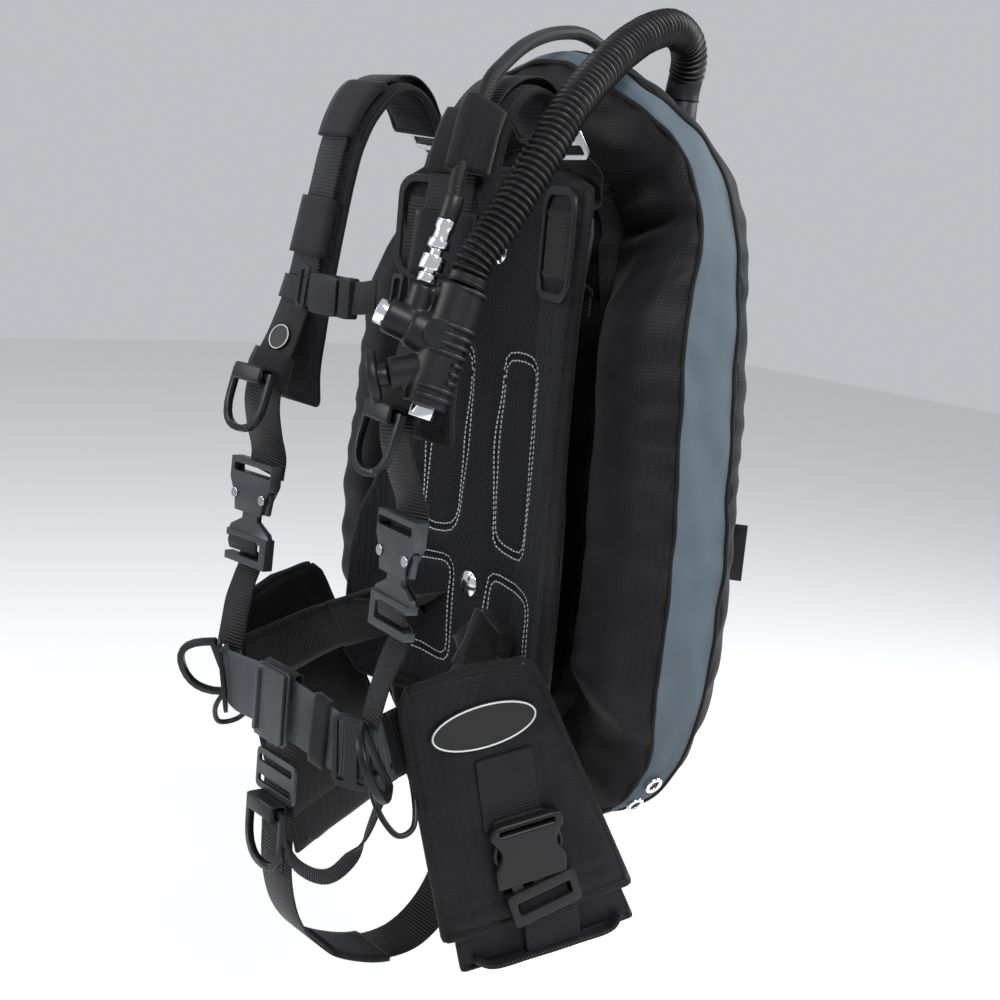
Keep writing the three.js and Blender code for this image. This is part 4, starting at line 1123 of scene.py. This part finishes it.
def fused(name, bars, voxel, rounds):
    """One moulded body: the bars fused by a voxel remesh and rubbed smooth where they meet."""
    made = bar_mesh(bars)
    mesh = bpy.data.meshes.new(name + "_bars")
    made.to_mesh(mesh)
    made.free()
    temp = link_object(name + "_bars", mesh)
    remesh = temp.modifiers.new("fuse", "REMESH")
    remesh.mode = "VOXEL"
    remesh.voxel_size = voxel
    smooth = temp.modifiers.new("smooth", "SMOOTH")
    smooth.factor = 0.5
    smooth.iterations = rounds
    result = bpy.data.meshes.new_from_object(temp.evaluated_get(bpy.context.evaluated_depsgraph_get()))
    bpy.data.objects.remove(temp)
    return link_object(name, result)


def make_inflator():
    bars = [(16.2, (0, -45), (1.7, 42)), (12.6, (4, 2), (45.6, 7)), (14.5, (2, 0), (26, 4.5)),
            (8.8, (26, 4), (27.2, 34)), (6, (2, 36), (27, 29)), (12, (4, -18), (30, -32)),
            (9, (6, 12), (22, 10)), (13, (0, -20), (10, -22))]
    body = finish_piece(fused("inflator_shell", bars, 0.0011, 7), RUBBER)
    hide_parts("inflator_body")
    for index in range(9):
        t = -38 + index * 6.4
        start, sweep_angle = (62, 236) if t < -26 or t > -8 else (80, 150)
        arc = [in_grip(16.3 * math.cos(a), t, 16.3 * math.sin(a))
               for a in [math.radians(start + sweep_angle * k / 20) for k in range(21)]]
        tube_mesh(f"grip_rib_{index}", arc, 0.0017, RUBBER, sides=8)
    ring = [in_grip(x, 40, n) for x, n in ellipse(15.6, 15.6, 32)]
    tube_mesh("hose_band", ring, 0.0014, PLASTIC, sides=8, closed=True)
    disc = ellipse(0.0105, 0.0105, 32)
    for index, n in enumerate((15.2, -15.2)):
        plate(f"grip_cap_{index}", disc, 0.0036, in_grip(6, 5, n), GRIP_S, GRIP_T, PLASTIC,
              bevel=0.0008)


make_inflator()

# ---- rivets on the chest buckles ----
BUCKLE_AT = Vector((107, -182, -76)) * MM
BUCKLE_U = Vector((0.994, -0.1, 0)).normalized()
BUCKLE_N = BUCKLE_U.cross(Vector((-0.09, 0.04, 0.995))).normalized()
BUCKLE_V = BUCKLE_N.cross(BUCKLE_U)
for side, s in SIDES:
    mirror = Vector((s, 1, 1))
    for index, x in enumerate((-19, 19)):
        at = (BUCKLE_AT + BUCKLE_U * (x * MM) - BUCKLE_V * 0.004 + BUCKLE_N * 0.0062) * mirror
        disc = ellipse(0.0042, 0.0042, 24)
        plate(f"buckle_rivet_{side}_{index}", disc, 0.0016, at, BUCKLE_U * mirror * s, BUCKLE_V * mirror,
              STEEL, bevel=0.0005)

# ---- floor and light ----
FLOOR_DROP = 0.215  # the weight pouches slide out below the crotch strap
bpy.ops.mesh.primitive_plane_add(size=12, location=(0, 0, cad_box[0][2] - FLOOR_DROP))
floor = bpy.context.object
floor.name = "floor"
floor.data.materials.append(new_material("pale_floor", (0.86, 0.86, 0.86), 0.95)[0])

world = bpy.data.worlds.new("studio")
bpy.context.scene.world = world
world.use_nodes = True
feed(world.node_tree.nodes["Background"], Color=(0.93, 0.95, 1.0, 1), Strength=0.55)
bpy.context.scene.view_settings.view_transform = "Standard"
CENTRE = Vector((0.05, -0.05, -0.05))
for name, at, power, size in (("key", (1.7, -0.5, 1.8), 66, 0.9), ("fill", (-1.2, -1.8, 0.9), 30, 1.2),
                              ("back", (0.9, 1.8, 1.2), 55, 1.0)):
    lamp = bpy.data.objects.new(name, bpy.data.lights.new(name, "AREA"))
    lamp.data.energy = power
    lamp.data.size = size
    lamp.location = at
    lamp.rotation_euler = (CENTRE - Vector(at)).to_track_quat("-Z", "Y").to_euler()
    bpy.context.collection.objects.link(lamp)
